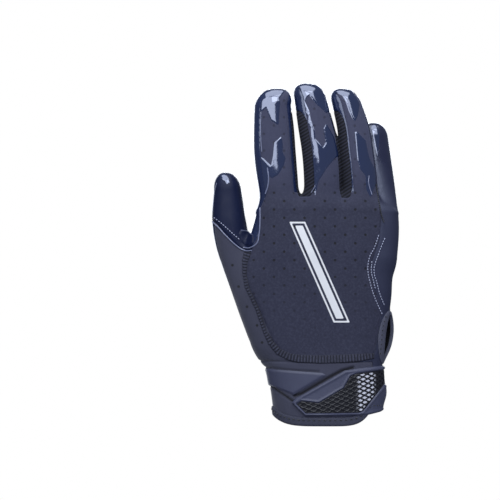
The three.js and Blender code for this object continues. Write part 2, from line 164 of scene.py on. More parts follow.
# Cushions and hollow of the palm: rise, across, up, spread across, spread up
PALM_CUSHIONS = [(5.0, -37, 80, 15, 27), (3.5, 25, 68, 13, 27), (-2.5, -4, 100, 14, 24)]
WALL = 1.2
VOXEL = 1.1

near_side, far_side = HAND[:, 1::2], HAND[:, 2::2]
hand_rows = np.column_stack([HAND[:, 0], (near_side + far_side) / 2, (far_side - near_side) / 2])
FORMS = {"hand": {"rows": hand_rows, "tip": (10.5, -1, 0), "roll": 0, "square": HAND_SQUARENESS}}
for name, digit in DIGITS.items():
    FORMS[name] = {
        "rows": np.array(digit["rows"]), "tip": digit["tip"],
        "roll": math.radians(digit["roll"]), "square": DIGIT_SQUARENESS,
    }


def between_rows(height, rows):
    """Centre and half sizes at any height, on smooth curves through the rows of a table."""
    levels, values = rows[:, 0], rows[:, 1:]
    slopes = np.gradient(values, levels, axis=0)
    height = np.clip(height, levels[0], levels[-1])
    i = np.clip(np.searchsorted(levels, height, side="right") - 1, 0, len(levels) - 2)
    step = (levels[i + 1] - levels[i])[:, None]
    t = (height - levels[i])[:, None] / step
    return (
        (2 * t**3 - 3 * t**2 + 1) * values[i] + (t**3 - 2 * t**2 + t) * step * slopes[i]
        + (3 * t**2 - 2 * t**3) * values[i + 1] + (t**3 - t**2) * step * slopes[i + 1]
    )


def along_form(name, height):
    """Centre and half sizes of a form at any height, and the share past its last row, where it leans."""
    form = FORMS[name]
    rise, tip_x, tip_y = form["tip"]
    top, last_x, last_y = form["rows"][-1, :3]
    x, y, width, depth = between_rows(height, form["rows"]).T
    past = np.clip((height - top) / rise, 0, None)
    lean = np.clip(past, 0, 1)
    return x + (tip_x - last_x) * lean, y + (tip_y - last_y) * lean, width, depth, past


def turned(u, v, roll):
    """Places across and through, turned about a form's centre line."""
    return u * math.cos(roll) - v * math.sin(roll), u * math.sin(roll) + v * math.cos(roll)


def in_form(points, name):
    """Places across and through a form, its half sizes there, and the share past its ends."""
    x, y, width, depth, past = along_form(name, points[:, 2])
    u, v = turned(points[:, 0] - x, points[:, 1] - y, -FORMS[name]["roll"])
    below = np.clip((FORMS[name]["rows"][0, 0] - points[:, 2]) / ROOT_FADE, 0, None)
    return u, v, width, depth, past + below


def off_form(points, name):
    """About how far points lie outside a form, in millimetres; negative inside."""
    square, rise = FORMS[name]["square"], FORMS[name]["tip"][0]
    u, v, width, depth, past = in_form(points, name)
    a, b = np.abs(u) / width, np.abs(v) / depth
    ring = (a**square + b**square) ** (1 / square) + 1e-6
    steep = np.hypot(a ** (square - 1) / width, b ** (square - 1) / depth) / ring ** (square - 1)
    steep = np.maximum(steep, 0.5 / np.maximum(width, depth))
    whole = np.sqrt(ring**TIP_BLUNTNESS + past**2)
    half = TIP_BLUNTNESS / 2
    steep_end = np.hypot(steep * half * ring ** (TIP_BLUNTNESS - 1), past / rise) / whole
    return np.where(past > 0, (whole - 1) / np.maximum(steep_end, 0.04), (ring - 1) / steep)


def run_together(a, b, reach):
    """The nearer of two distances, with the crease between them filled over a reach."""
    crease = np.clip(reach - np.abs(a - b), 0, None) / reach
    return np.minimum(a, b) - crease**2 * reach / 4


def off_skin(points):
    """About how far points lie outside the glove's skin."""
    moved = points.copy()
    palm_share = np.clip(points[:, 1] / 15, 0, 1)
    for rise, x, z, spread_x, spread_z in PALM_CUSHIONS:
        away = ((points[:, 0] - x) / spread_x) ** 2 + ((points[:, 2] - z) / spread_z) ** 2
        moved[:, 1] -= rise * palm_share * np.exp(-away)
    hand = off_form(moved, "hand")
    nearest = np.full(len(points), 1e3)
    for name, digit in DIGITS.items():
        nearest = run_together(nearest, run_together(hand, off_form(points, name), digit["blend"]), 1.0)
    return nearest


def slope_of(field, points, step):
    """Direction in which a distance grows, and how fast."""
    slope = np.zeros_like(points)
    for axis in range(3):
        nudge = np.zeros(3)
        nudge[axis] = step
        slope[:, axis] = (field(points + nudge) - field(points - nudge)) / (2 * step)
    return slope


def onto_skin(points, rounds=3):
    """Points moved to the nearest place on the skin."""
    for _ in range(rounds):
        slope = slope_of(off_skin, points, 0.05)
        points = points - (off_skin(points) / np.maximum((slope**2).sum(1), 0.05))[:, None] * slope
    return points


def unit(directions):
    """Directions made one long."""
    return directions / np.maximum(np.linalg.norm(directions, axis=1), 1e-6)[:, None]


def outward(points):
    """Directions straight out of the skin."""
    return unit(slope_of(off_skin, points, 0.05))


def built(name, points, faces):
    """A new object from points and faces, chosen on its own."""
    mesh = bpy.data.meshes.new(name)
    mesh.from_pydata(points.tolist(), [], faces)
    made = bpy.data.objects.new(name, mesh)
    bpy.context.collection.objects.link(made)
    bpy.ops.object.select_all(action="DESELECT")
    made.select_set(True)
    bpy.context.view_layer.objects.active = made
    return made


def squared(wave, squareness):
    """A sine or cosine bent so that the ring that it draws is squarer than a round one, or slimmer."""
    return np.sign(wave) * np.abs(wave) ** (2 / squareness)


def rough_form(name, levels=40, sides=48):
    """A closed tube through a form's table, with a rounded end, kept clear of the next digit's."""
    form = FORMS[name]
    slim = 0 if name == "hand" else SLIM
    foot, top, rise = form["rows"][0, 0], form["rows"][-1, 0], form["tip"][0]
    ends = np.radians([15, 30, 45, 60, 72, 82])
    heights = np.concatenate([np.linspace(foot, top, levels), top + rise * np.sin(ends)])
    shrink = np.concatenate([np.ones(levels), np.cos(ends) ** (2 / TIP_BLUNTNESS)])
    x, y, width, depth, _ = along_form(name, heights)
    angle = np.linspace(0, 2 * math.pi, sides, endpoint=False)
    u = squared(np.cos(angle), form["square"]) * ((width - slim) * shrink)[:, None]
    v = squared(np.sin(angle), form["square"]) * ((depth - slim) * shrink)[:, None]
    u, v = turned(u, v, form["roll"])
    points = np.stack([x[:, None] + u, y[:, None] + v, np.repeat(heights[:, None], sides, axis=1)], axis=-1)
    last = (len(heights) - 1) * sides
    faces = [tuple(range(sides - 1, -1, -1)), tuple(range(last, last + sides))]
    for i in range(0, last, sides):
        faces += [
            (i + k, i + (k + 1) % sides, i + sides + (k + 1) % sides, i + sides + k) for k in range(sides)]
    return built(name + "_form", points.reshape(-1, 3), faces)


tubes = [rough_form(name) for name in FORMS]
for tube in tubes:
    tube.select_set(True)
bpy.context.view_layer.objects.active = tubes[0]
bpy.ops.object.join()
whole = bpy.context.object
whole.data.remesh_voxel_size = VOXEL
bpy.ops.object.voxel_remesh()
whole.data.calc_loop_triangles()
skin_points = np.empty(len(whole.data.vertices) * 3)
whole.data.vertices.foreach_get("co", skin_points)
skin_faces = np.empty(len(whole.data.loop_triangles) * 3, int)
whole.data.loop_triangles.foreach_get("vertices", skin_faces)
bpy.data.objects.remove(whole)
skin = (onto_skin(skin_points.reshape(-1, 3)), skin_faces.reshape(-1, 3))


def split(cloth, field, level=0.0):
    """Cloth with its facets cut along the line where a field has a level, and the side of each facet."""
    points, faces = cloth
    value = field(points) - level
    close = np.abs(value) < 0.12
    if close.any():
        slope = slope_of(field, points[close], 0.02)
        points = points.copy()
        points[close] -= (value[close] / np.maximum((slope**2).sum(1), 0.2))[:, None] * slope
        value[close] = 0
    corner = np.sign(value).astype(int)[faces]
    crossed = (corner.max(1) > 0) & (corner.min(1) < 0)
    kept, kept_side = faces[~crossed], np.where(corner[~crossed].max(1) > 0, 1, -1)
    cut, sign = faces[crossed], corner[crossed]
    if len(cut) == 0:
        return (points, kept), kept_side
    # Each facet is turned to start at its point on the line, or else at its lone point on one side
    on_line = (sign == 0).any(1)
    start = np.argmax(np.where(on_line[:, None], sign == 0, sign == -np.sign(sign.sum(1))[:, None]), axis=1)
    turn = (np.arange(3) + start[:, None]) % 3
    cut, sign = np.take_along_axis(cut, turn, axis=1), np.take_along_axis(sign, turn, axis=1)
    a, b = cut[on_line], cut[~on_line]
    first = np.concatenate([a[:, 1], b[:, 0], b[:, 2]])
    second = np.concatenate([a[:, 2], b[:, 1], b[:, 0]])
    key = np.minimum(first, second) * len(points) + np.maximum(first, second)
    unique, where = np.unique(key, return_inverse=True)
    low, high = unique // len(points), unique % len(points)
    share = value[low] / (value[low] - value[high])
    fresh = points[low] + share[:, None] * (points[high] - points[low])
    across, out, back = np.split(len(points) + where, [len(a), len(a) + len(b)])
    facets = [
        kept, np.column_stack([a[:, 0], a[:, 1], across]), np.column_stack([a[:, 0], across, a[:, 2]]),
        np.column_stack([b[:, 0], out, back]), np.column_stack([out, b[:, 1], b[:, 2]]),
        np.column_stack([out, b[:, 2], back]),
    ]
    a_side, b_side = sign[on_line], sign[~on_line]
    sides = [kept_side, a_side[:, 1], a_side[:, 2], b_side[:, 0], b_side[:, 1], b_side[:, 1]]
    return (np.vstack([points, fresh]), np.concatenate(facets)), np.concatenate(sides)


def only(cloth, chosen):
    """The chosen facets of a cloth, with the points that they use."""
    points, faces = cloth
    used, where = np.unique(faces[chosen], return_inverse=True)
    return points[used], where.reshape(-1, 3)


def part(cloth, field):
    """Cuts cloth along a field's zero line into the piece inside and the rest."""
    whole_cloth, side = split(cloth, field)
    return only(whole_cloth, side < 0), only(whole_cloth, side > 0)


def inside(cloth, field):
    """The piece of cloth inside a field."""
    return part(cloth, field)[0]


def cut_out(cloth, field, edge_rows):
    """Parts cloth along a seam, with rows of points beside it so that its edges can be rolled."""
    for level in edge_rows:
        cloth, _ = split(cloth, field, level)
    return part(cloth, field)


def from_line(points, line):
    """How far points lie from a line drawn in the flat, how far along it they lie, and its length."""
    flat, line = points[:, [0, 2]], np.array(line, float)
    nearest, reached, run = np.full(len(flat), 1e9), np.zeros(len(flat)), 0.0
    for start, end in zip(line, line[1:]):
        edge = end - start
        length = np.hypot(*edge)
        along = np.clip((flat - start) @ edge / length**2, 0, 1)
        away = np.hypot(*(flat - start - along[:, None] * edge).T)
        reached = np.where(away < nearest, run + along * length, reached)
        nearest = np.minimum(nearest, away)
        run += length
    return nearest, reached, run


def off_outline(points, outline):
    """How far points lie outside an outline drawn in the flat, negative inside."""
    across, up = points[:, 0], points[:, 2]
    within = np.zeros(len(points), bool)
    for (x, z), (next_x, next_z) in zip(outline, [*outline[1:], outline[0]]):
        if z != next_z:
            spans = (z > up) != (next_z > up)
            within ^= spans & (across < x + (up - z) * (next_x - x) / (next_z - z))
    nearest = from_line(points, [*outline, outline[0]])[0]
    return np.where(within, -nearest, nearest)


def both(*fields):
    """Inside all of the fields."""
    return np.maximum.reduce(fields)


def either(*fields):
    """Inside any of the fields."""
    return np.minimum.reduce(fields)


def drawn(outline, through=99, margin=0):
    """A field that is inside an outline and its margin, from the back down to a depth through the hand."""
    return lambda points: both(off_outline(points, outline) - margin, points[:, 1] - through)


# Height of the hem's lower edge: lowest near the middle, higher at both sides
def hem_height(x):
    reach = np.where(x < -2, 39.0, 31.0)
    return 10 * np.minimum(1, np.abs(x + 2) / reach) ** 5


# The panels end inside the hem's binding
CLOTH_END = 5.0


def above_band(points):
    return hem_height(points[:, 0]) + CLOTH_END - points[:, 2]


# Seams, seen from the back of the hand: across, up
BACK_SEAM = [
    (-32.2, 51.1), (-25.2, 46.9), (-5.6, 44.8), (15.4, 44.8), (29.4, 46.6), (33.2, 52), (37.4, 78),
    (35.4, 87.5), (31.5, 98), (29.8, 108.5), (30.5, 114.1), (35.7, 129.5), (37.1, 145), (35.5, 163),
    (-43, 163), (-47.4, 152), (-47.6, 142), (-49, 133), (-53.9, 122.5), (-57.4, 114.1),
    (-57.4, 105), (-54.6, 94.5), (-49, 84), (-43.4, 70), (-37.8, 58.1),
]
THUMB_SEAM = [
    (-90, 150), (-83, 144.9), (-78, 140.5), (-71.4, 132.9), (-64.7, 126.2), (-61.1, 123.5),
    (-57, 121.8), (-53.5, 123), (-54, 130), (-55.4, 190), (-90, 190),
]
SIDE_SEAM = [(-90, 44.8), (12, 44.8), (-20, 60), (-44, 100), (-53, 122.8), (-56, 126), (-90, 160)]
CUFF_SEAM = [(-90, -20), (31, -20), (31, 44.8), (-90, 44.8)]
# Vent on the little finger side, seen from that side: a slit with pointed ends
VENT_Y, VENT_UP = -3.5, 61.5
VENT_HALF_WIDTH, VENT_HALF_HEIGHT = 4.0, 16.0
VENT_SQUARENESS = 1.8
VENT_SIDE = 25
# Knit between two fingers: where they meet, how high the knit goes, the share of each finger's half
# width that stays outside it, or None where a finger has no knit, and how far it comes round to the
# back as a share of the half depth
GUSSETS = {
    "index_middle": {
        "fingers": ("index", "middle"), "meet": (-18.8, 0.5, 160), "top": 220,
        "clear": (0.84, 0.72), "round": 0.82},
    "middle_ring": {
        "fingers": ("middle", "ring"), "meet": (10.6, 0.5, 159), "top": 220,
        "clear": (0.86, 0.78), "round": 0.82},
    "ring_little": {
        "fingers": ("ring", "little"), "meet": (31.6, 4.5, 148), "top": 204,
        "clear": (0.78, None), "round": 0.3},
}
# Half sizes of the knit at the root, how far its ends curve, and how clear it stays of a bare finger
KNIT_ROOT = (6, 4.5, 6)
KNIT_BEND = 7
KNIT_CLEARANCE = 0.6
# What the back covers of a finger's half width and of its tip, and the knit of the half depth
SEAM_SHARE = 0.72
TIP_SHARE = 0.88
KNIT_SHARE = 0.82


def digit_side(points, digit, side, clear, gusset):
    """Inside the strip of a finger that faces its neighbour; side 1 faces the little finger."""
    u, v, width, depth, _ = in_form(points, digit)
    inward = np.clip((width - side * u) / ((1 - clear) * width), 0, 1.2)
    foot = gusset["meet"][2] + KNIT_BEND * inward**2.2
    top = gusset["top"] - KNIT_BEND * inward**2
    return both(
        clear * width - side * u, side * u - width - 3, v - KNIT_SHARE * depth, -v - gusset["round"] * depth,
        foot - points[:, 2], points[:, 2] - top,
    )


def in_gusset(points, name):
    gusset = GUSSETS[name]
    (near, far), (near_clear, far_clear) = gusset["fingers"], gusset["clear"]
    root = both(*(np.abs(points - gusset["meet"]) - KNIT_ROOT).T)
    near_strip = digit_side(points, near, 1, near_clear, gusset)
    if far_clear is None:
        return either(root, both(near_strip, KNIT_CLEARANCE - off_form(points, far)))
    return either(root, near_strip, digit_side(points, far, -1, far_clear, gusset))


def finger_back(points, digit):
    """Inside the part of a finger that the back covers."""
    u, v, width, depth, past = in_form(points, digit)
    end = (past - TIP_SHARE) * FORMS[digit]["tip"][0]
    return both(np.abs(u) - SEAM_SHARE * width, v + 0.25 * depth, end, 140 - points[:, 2])


def in_back(points):
    fingers = [finger_back(points, digit) for digit in ("index", "middle", "ring")]
    return either(drawn(BACK_SEAM, -2)(points), *fingers)


def in_vent(points):
    up, aside = (points[:, 2] - VENT_UP) / VENT_HALF_HEIGHT, (points[:, 1] - VENT_Y) / VENT_HALF_WIDTH
    oval = np.abs(up) ** VENT_SQUARENESS + np.abs(aside) ** VENT_SQUARENESS
    return both((oval ** (1 / VENT_SQUARENESS) - 1) * VENT_HALF_WIDTH, VENT_SIDE - points[:, 0])


_, skin = part(inside(skin, above_band), in_vent)
uncut = skin
ONE_EDGE = (0.4, 0.9, 1.5)
TWO_EDGES = (-1.5, -0.9, -0.4, 0.4, 0.9, 1.5)
cut_gussets = {}
for name in GUSSETS:
    cut_gussets[name], skin = cut_out(skin, lambda points: in_gusset(points, name), ONE_EDGE)
cut_thumb, skin = cut_out(skin, drawn(THUMB_SEAM, 10.5), TWO_EDGES)
cut_back, skin = cut_out(skin, in_back, TWO_EDGES)
cut_side, skin = cut_out(skin, drawn(SIDE_SEAM, 6), TWO_EDGES[1:-1])
cut_cuff, cut_palm = part(skin, drawn(CUFF_SEAM, 4))


def facet_sides(faces):
    """The three sides of every facet, each as two points."""
    return np.concatenate([faces[:, [0, 1]], faces[:, [1, 2]], faces[:, [2, 0]]])


def side_numbers(cloth):
    """One number for each side of every facet, the same for the two facets that share it."""
    return np.sort(facet_sides(cloth[1]), axis=1) @ (len(cloth[0]), 1)


def from_rim(cloth):
    """How far each point of a cloth lies from its edge."""
    points = cloth[0]
    numbers, count = np.unique(side_numbers(cloth), return_counts=True)
    lone = numbers[count == 1]
    edge = points[np.union1d(lone // len(points), lone % len(points))]
    tree = KDTree(len(edge))
    for i, place in enumerate(edge):
        tree.insert(place, i)
    tree.balance()
    return np.array([tree.find(place)[2] for place in points])


def without_scraps(cloth):
    """The largest connected part of a cloth."""
    points, faces = cloth
    label = np.arange(len(points))
    while True:
        fresh = label.copy()
        np.minimum.at(fresh, faces.ravel(), np.repeat(label[faces].min(axis=1), 3))
        fresh = fresh[fresh]
        if (fresh == label).all():
            break
        label = fresh
    return only(cloth, label[faces[:, 0]] == np.bincount(label[faces[:, 0]]).argmax())


def sewn(name, cloth, relief, finish, wall=None, mark=None):
    """A panel: cloth raised by a relief straight out of the skin. With no wall of its own it is lined."""
    points, faces = without_scraps(cloth)
    count, out = len(points), outward(points)
    top = points + out * relief(points, from_rim((points, faces)))[:, None]
    ends = facet_sides(faces)
    rim = ends[~np.isin(ends @ (count, 1), ends @ (1, count))]
    rim = np.column_stack([rim[:, ::-1], rim + count])
    under = faces[:, ::-1] + count
    shell = np.vstack([top, top - out * (wall or WALL)])
    panel = built(name, shell * MM, faces.tolist() + rim.tolist() + under.tolist())
    if mark:
        marks = panel.data.attributes.new("mark", "FLOAT", "POINT")
        marks.data.foreach_set("value", np.tile(mark(points), 2))
    panel.data.materials.append(finish)
    if wall is None:
        panel.data.materials.append(lining)
        lined = np.arange(len(panel.data.polygons)) >= len(faces) + len(rim)
        panel.data.polygons.foreach_set("material_index", lined.astype(int))
    bpy.ops.object.shade_smooth_by_angle(angle=math.radians(40))
    return panel


def belongs(made, slot, *nodes):
    """Fixes a finished piece to the glove and hides the solids that it stands for. The slot is not used."""
    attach(made, "root")
    if nodes:
        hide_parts(*nodes)


def rolled(edge, deep, reach):
    """Relief of a sewn edge that turns down into its seam."""
    return -deep * np.exp(-((edge / reach) ** 2))


def raised(height, deep=0, reach=1):
    """Relief of a flat panel at a height over the skin, with its edge rolled."""
    return lambda points, edge: height + rolled(edge, deep, reach)


def material(name, colour, rough):
    """A new material, its node tree and shader, and the place on the piece that its patterns read."""
    made = bpy.data.materials.new(name)
    made.use_nodes = True
    tree = made.node_tree
    shader = fill(tree.nodes["Principled BSDF"], {"Base Color": colour, "Roughness": rough})
    return made, tree, shader, node(tree, "TexCoord").outputs["Object"]


def reckoned(tree, operation, *values, **settings):
    """The result of one sum on numbers or other nodes' outputs."""
    return node(tree, "Math", dict(enumerate(values)), operation=operation, **settings).outputs[0]


def between(tree, value, low, high, first=0.0, last=1.0):
    """A soft step of a value from one number to another."""
    return node(tree, "MapRange", {
        "Value": value, "From Min": low, "From Max": high, "To Min": first, "To Max": last,
    }, interpolation_type="SMOOTHSTEP").outputs["Result"]


def mixed(tree, factor, first, second):
    """A mix of two colours, each given as a colour or as another node's output."""
    return node(tree, "Mix", {"Factor": factor, 6: first, 7: second}, data_type="RGBA").outputs[2]


def noise(tree, place, scale, detail=2.0, rough=0.5):
    """A cloudy or grainy value from place to place."""
    inputs = {"Vector": place, "Scale": scale, "Detail": detail, "Roughness": rough}
    return node(tree, "TexNoise", inputs).outputs["Fac"]


def axis(tree, vector, name):
    """One of a vector's three numbers, X, Y or Z."""
    return node(tree, "SeparateXYZ", {0: vector}).outputs[name]


def facing(tree):
    """How squarely a surface faces out of the palm: 1 straight out of it, -1 straight out of the back."""
    return axis(tree, node(tree, "NewGeometry").outputs["Normal"], "Y")


def fed(shader, name):
    """What already feeds one of a shader's inputs."""
    return shader.inputs[name].links[0].from_socket


def mottled(tree, shader, place, dark, light, scale):
    """Cloth or film that is a little lighter and darker from place to place."""
    colour = mixed(tree, noise(tree, place, scale, 4.0, 0.6), dark, light)
    fill(shader, {"Base Color": colour})
    return colour


def raised_by(tree, shader, height, strength, distance, *also):
    """Small relief of a surface from a height, on the shader's normal and any other that is named."""
    bump = node(tree, "Bump", {"Height": height, "Strength": strength, "Distance": distance})
    fill(shader, {name: bump.outputs["Normal"] for name in ("Normal", *also)})


def film_like(name, dark, light, rough, film):
    """A coated cloth: mottled colour under a clear film that mirrors like vinyl, with a faint ripple."""
    made, tree, shader, place = material(name, dark, rough)
    mottled(tree, shader, place, dark, light, 70.0)
    ripple = noise(tree, place, 110.0)
    height = reckoned(tree, "MULTIPLY_ADD", noise(tree, place, 1900.0, 1.0), 0.06, ripple)
    raised_by(tree, shader, height, 0.5, 0.00025, "Coat Normal")
    fill(shader, {
        "IOR": 1.8, "Coat Weight": film, "Coat Roughness": 0.06, "Coat IOR": 1.9,
        "Roughness": between(tree, ripple, 0.3, 0.75, rough * 0.8, rough * 1.3),
    })
    return made, tree, shader, place


lining, tree, shader, place = material("dark_lining", (0.008, 0.009, 0.014), 0.9)
mottled(tree, shader, place, (0.006, 0.007, 0.011), (0.012, 0.013, 0.019), 300.0)
grip, tree, shader, place = film_like("grip_coat", (0.006, 0.012, 0.047), (0.009, 0.017, 0.060), 0.2, 1.0)
# The coat is thinner where it comes round to the back, and satin on the outer side of the hand
to_back = between(tree, facing(tree), -0.25, 0.05, 1.0, 0.0)
outer = reckoned(tree, "MULTIPLY", to_back, between(tree, axis(tree, place, "X"), 0.022, 0.027))
satin = reckoned(tree, "MULTIPLY", outer, between(tree, axis(tree, place, "Z"), 0.140, 0.198, 1.0, 0.0))
thinned = reckoned(tree, "MULTIPLY_ADD", to_back, -0.8, 1.0)
fill(shader, {
    "Coat Weight": reckoned(tree, "SUBTRACT", thinned, satin, use_clamp=True),
    "Specular Tint": (0.74, 0.8, 1),
    "Roughness": reckoned(tree, "MULTIPLY_ADD", satin, 0.5, fed(shader, "Roughness")),
    "Base Color": mixed(tree, outer, fed(shader, "Base Color"), (0.012, 0.0135, 0.036)),
})


def vent_flap(points):
    """How far the palm side of the vent stands open, in millimetres."""
    along = 1 - ((points[:, 2] - VENT_UP - 1) / (VENT_HALF_HEIGHT + 4)) ** 2
    behind = points[:, 1] - VENT_Y
    open_by = 4.4 * np.clip(along, 0, None) ** 1.5 * np.exp(-((behind - 2) / 7.5) ** 2)
    return np.where((behind > 0) & (points[:, 0] > VENT_SIDE), open_by, 0)


def from_palm_view(pixels):
    """Across and up in millimetres for places read off the palm side of the photograph."""
    return [((163 - x) * PIXEL, (WRIST_PIXEL[1] - y) * PIXEL) for x, y in pixels]


# Folds of the palm: depth, width, and the line that each follows
PALM_FOLDS = [
    (0.9, 2.0, [(170, 281), (189, 265), (200, 251), (209, 247)]),
    (0.8, 1.3, [(203, 276), (212, 268), (221, 262)]),
    (0.7, 1.2, [(196, 281), (207, 285), (217, 275)]),
    (0.8, 1.4, [(222, 304), (216, 292), (214, 281)]),
    (0.8, 2.2, [(199, 362), (185, 382), (167, 395)]),
    (0.9, 2.0, [(236, 338), (214, 349), (199, 374), (179, 398)]),
    (1.0, 3.2, [(176, 218), (160, 246), (136, 294)]),
    (0.8, 2.4, [(139, 238), (136, 262)]),
]


def palm_relief(points, edge):
    relief = rolled(edge, 0.2, 0.8) + vent_flap(points)
    palm_share = np.clip((points[:, 1] - 4) / 5, 0, 1)
    for depth, width, pixels in PALM_FOLDS:
        away, reached, length = from_line(points, from_palm_view(pixels))
        ends = np.sin(math.pi * np.clip(reached / length, 0, 1)) ** 0.5
        relief = relief - palm_share * depth * ends * np.exp(-((away / width) ** 2))
    return relief


palm = sewn("grip_palm", cut_palm, palm_relief, grip)
FRONTS = ("thumb_front", "index_front", "middle_front", "ring_front", "little_finger")
belongs(palm, "grip_skin", "palm", *FRONTS)


def laid_on(points, towards):
    """Points moved in one direction until they meet the skin; those that pass it go to its nearest place."""
    start, towards = np.array(points, float), np.array(towards, float)
    laid = start.copy()
    for _ in range(40):
        laid = laid + 0.8 * np.clip(off_skin(laid), 0, None)[:, None] * towards
    passed = np.abs(off_skin(laid)) > 0.5
    if passed.any():
        laid[passed] = onto_skin(start[passed] * (towards == 0), 6)
    return laid


def eased(line, spacing):
    """A smooth line through given places, as points a set distance apart."""
    line = np.array(line, float)
    run = np.concatenate([[0], np.cumsum(np.linalg.norm(np.diff(line, axis=0), axis=1))])
    at = np.linspace(0, run[-1], max(2, int(round(run[-1] / spacing)) + 1))
    return between_rows(at, np.column_stack([run, line]))


def from_photo(pixels):
    """Across and up in millimetres for places read off the photograph."""
    return [((x - WRIST_PIXEL[0]) * PIXEL, (WRIST_PIXEL[1] - y) * PIXEL) for x, y in pixels]


def on_back(pixels, spacing):
    """A smooth line of points on the back of the skin, through places read off the photograph."""
    flat = eased(from_photo(pixels), spacing)
    return laid_on(np.column_stack([flat[:, 0], np.full(len(flat), -34.0), flat[:, 1]]), (0, 1, 0))


def along_skin(path):
    """Directions along a line on the skin, straight out of the skin, and aside."""
    ahead = unit(np.gradient(path, axis=0))
    out = outward(path)
    return ahead, out, unit(np.cross(out, ahead))


def closed_up(name, points, faces, finish, smooth):
    """A closed piece in one finish, its faces turned outwards and its shading rounded."""
    made = built(name, points * MM, faces)
    made.data.materials.append(finish)
    bpy.ops.object.mode_set(mode="EDIT")
    bpy.ops.mesh.select_all(action="SELECT")
    bpy.ops.mesh.normals_make_consistent(inside=False)
    bpy.ops.object.mode_set(mode="OBJECT")
    bpy.ops.object.shade_smooth_by_angle(angle=math.radians(smooth))
    return made


def banded(name, rings, finish, closed):
    """A closed band over rings of points, which either meet again or end in caps."""
    count, sides = rings.shape[:2]
    faces = []
    for i in range(count if closed else count - 1):
        j = (i + 1) % count
        faces += [
            (i * sides + k, j * sides + k, j * sides + (k + 1) % sides, i * sides + (k + 1) % sides)
            for k in range(sides)]
    if not closed:
        faces += [tuple(range(sides)), tuple(range((count - 1) * sides, count * sides))]
    return closed_up(name, rings.reshape(-1, 3), faces, finish, 50)


def swept(name, path, profile, finish, closed=False, wide=1.0, flap=None):
    """A strip along a line on the skin. Its profile gives places aside from the line and out of the skin."""
    aside = along_skin(path)[2]
    rings = []
    for across, up in profile:
        base = onto_skin(path + aside * np.reshape(across * wide, (-1, 1)), 2)
        lift = up + (flap(base) if flap else 0)
        rings.append(base + outward(base) * np.reshape(lift, (-1, 1)))
    return banded(name, np.array(rings).transpose(1, 0, 2), finish, closed)


def round_about(sides):
    """Places round a circle, as cosine and sine."""
    return [(math.cos(t), math.sin(t)) for t in np.linspace(0, 2 * math.pi, sides, endpoint=False)]


def stitched(name, rows, finish, length, thick, lift):
    """Rows of stitches: one short low loop of thread at each point of each line on the skin."""
    middle = [(e, thick * a, thick * b) for e in (-0.62, 0.62) for a, b in round_about(6)]
    loop = np.array([(-1, 0, 0), *middle, (1, 0, 0)]) * (length / 2, 1, 1)
    loop_faces = [(0, k + 1, (k + 1) % 6 + 1) for k in range(6)]
    loop_faces += [(k + 1, k + 7, (k + 1) % 6 + 7, (k + 1) % 6 + 1) for k in range(6)]
    loop_faces += [(13, (k + 1) % 6 + 7, k + 7) for k in range(6)]
    points, faces = [], []
    for path in rows:
        for place, ahead, out, aside in zip(path, *along_skin(path)):
            faces += [tuple(14 * len(points) + corner for corner in face) for face in loop_faces]
            points.append(place + out * lift + loop @ np.array([ahead, aside, out]))
    return closed_up(name, np.concatenate(points), faces, finish, 80)


# Thread in two shades: light on the panels, near black on the bindings
def thread(name, colour):
    made, tree, shader, place = material(name, colour, 0.6)
    mottled(tree, shader, place, [0.8 * c for c in colour], [1.15 * c for c in colour], 900.0)
    fill(shader, {"Sheen Weight": 0.3})
    return made


light_thread = thread("light_thread", (0.36, 0.38, 0.52))
dark_thread = thread("dark_thread", (0.006, 0.007, 0.012))


def digit_line(digit, share, low):
    """A line up one side of a digit's palm face, round its tip and down its other side."""
    top, rise = FORMS[digit]["rows"][-1, 0], FORMS[digit]["tip"][0]
    heights = np.concatenate([np.linspace(low, top, 20), np.full(9, top), np.linspace(top, low, 20)])
    swing = np.radians(np.concatenate([np.full(20, 180.0), np.linspace(160, 20, 9), np.zeros(20)]))
    heights = heights + 0.72 * rise * np.sin(swing) * (np.abs(np.cos(swing)) < 0.999)
    x, y, width, depth, past = along_form(digit, heights)
    u, v = turned(share * width * np.cos(swing), depth * 0.8 * np.sqrt(1 - past), FORMS[digit]["roll"])
    line = onto_skin(np.column_stack([x + u, y + v, heights]), 6)
    return onto_skin(eased(line, 2.0), 3)


# Stitches inside the edge of each finger's palm face: share of the half width, lowest height
PALM_ROWS = [("index", 0.6, 164), ("middle", 0.6, 164), ("ring", 0.6, 163), ("little", 0.66, 152)]
palm_rows = [digit_line(digit, share, low) for digit, share, low in PALM_ROWS]
belongs(stitched("palm_stitching", palm_rows, light_thread, 1.2, 0.24, 0.15), "grip_skin")

# Perforated back. A matt padded cloth covers the back of the hand and of three fingers, punched with
# staggered rows of small holes. It is laid over its neighbours and sewn round its edge.
HOLE_PITCH = (14.14 * MM, 11.74 * MM)
HOLE_STARTS = [(-30.8 * MM, 156.5 * MM), (-37.9 * MM, 150.6 * MM)]
HOLE_RADIUS = 0.92 * MM
BACK_LIFT = 0.3


def vector(tree, operation, *values):
    """The result of one sum on vectors: a vector, or a number where it is a length or a distance."""
    made = node(tree, "VectorMath", dict(enumerate(values)), operation=operation)
    return made.outputs["Value" if operation in ("LENGTH", "DISTANCE") else "Vector"]


def off_holes(tree, place, start):
    """Distance to the nearest hole of a regular grid, seen from the back."""
    wide, high = HOLE_PITCH
    shift = (0.5 - start[0] / wide, 0, 0.5 - start[1] / high)
    cell = vector(tree, "FRACTION", vector(tree, "MULTIPLY_ADD", place, (1 / wide, 1, 1 / high), shift))
    centred = vector(tree, "SUBTRACT", cell, (0.5, 0, 0.5))
    return vector(tree, "LENGTH", vector(tree, "MULTIPLY", centred, (wide, 0, high)))


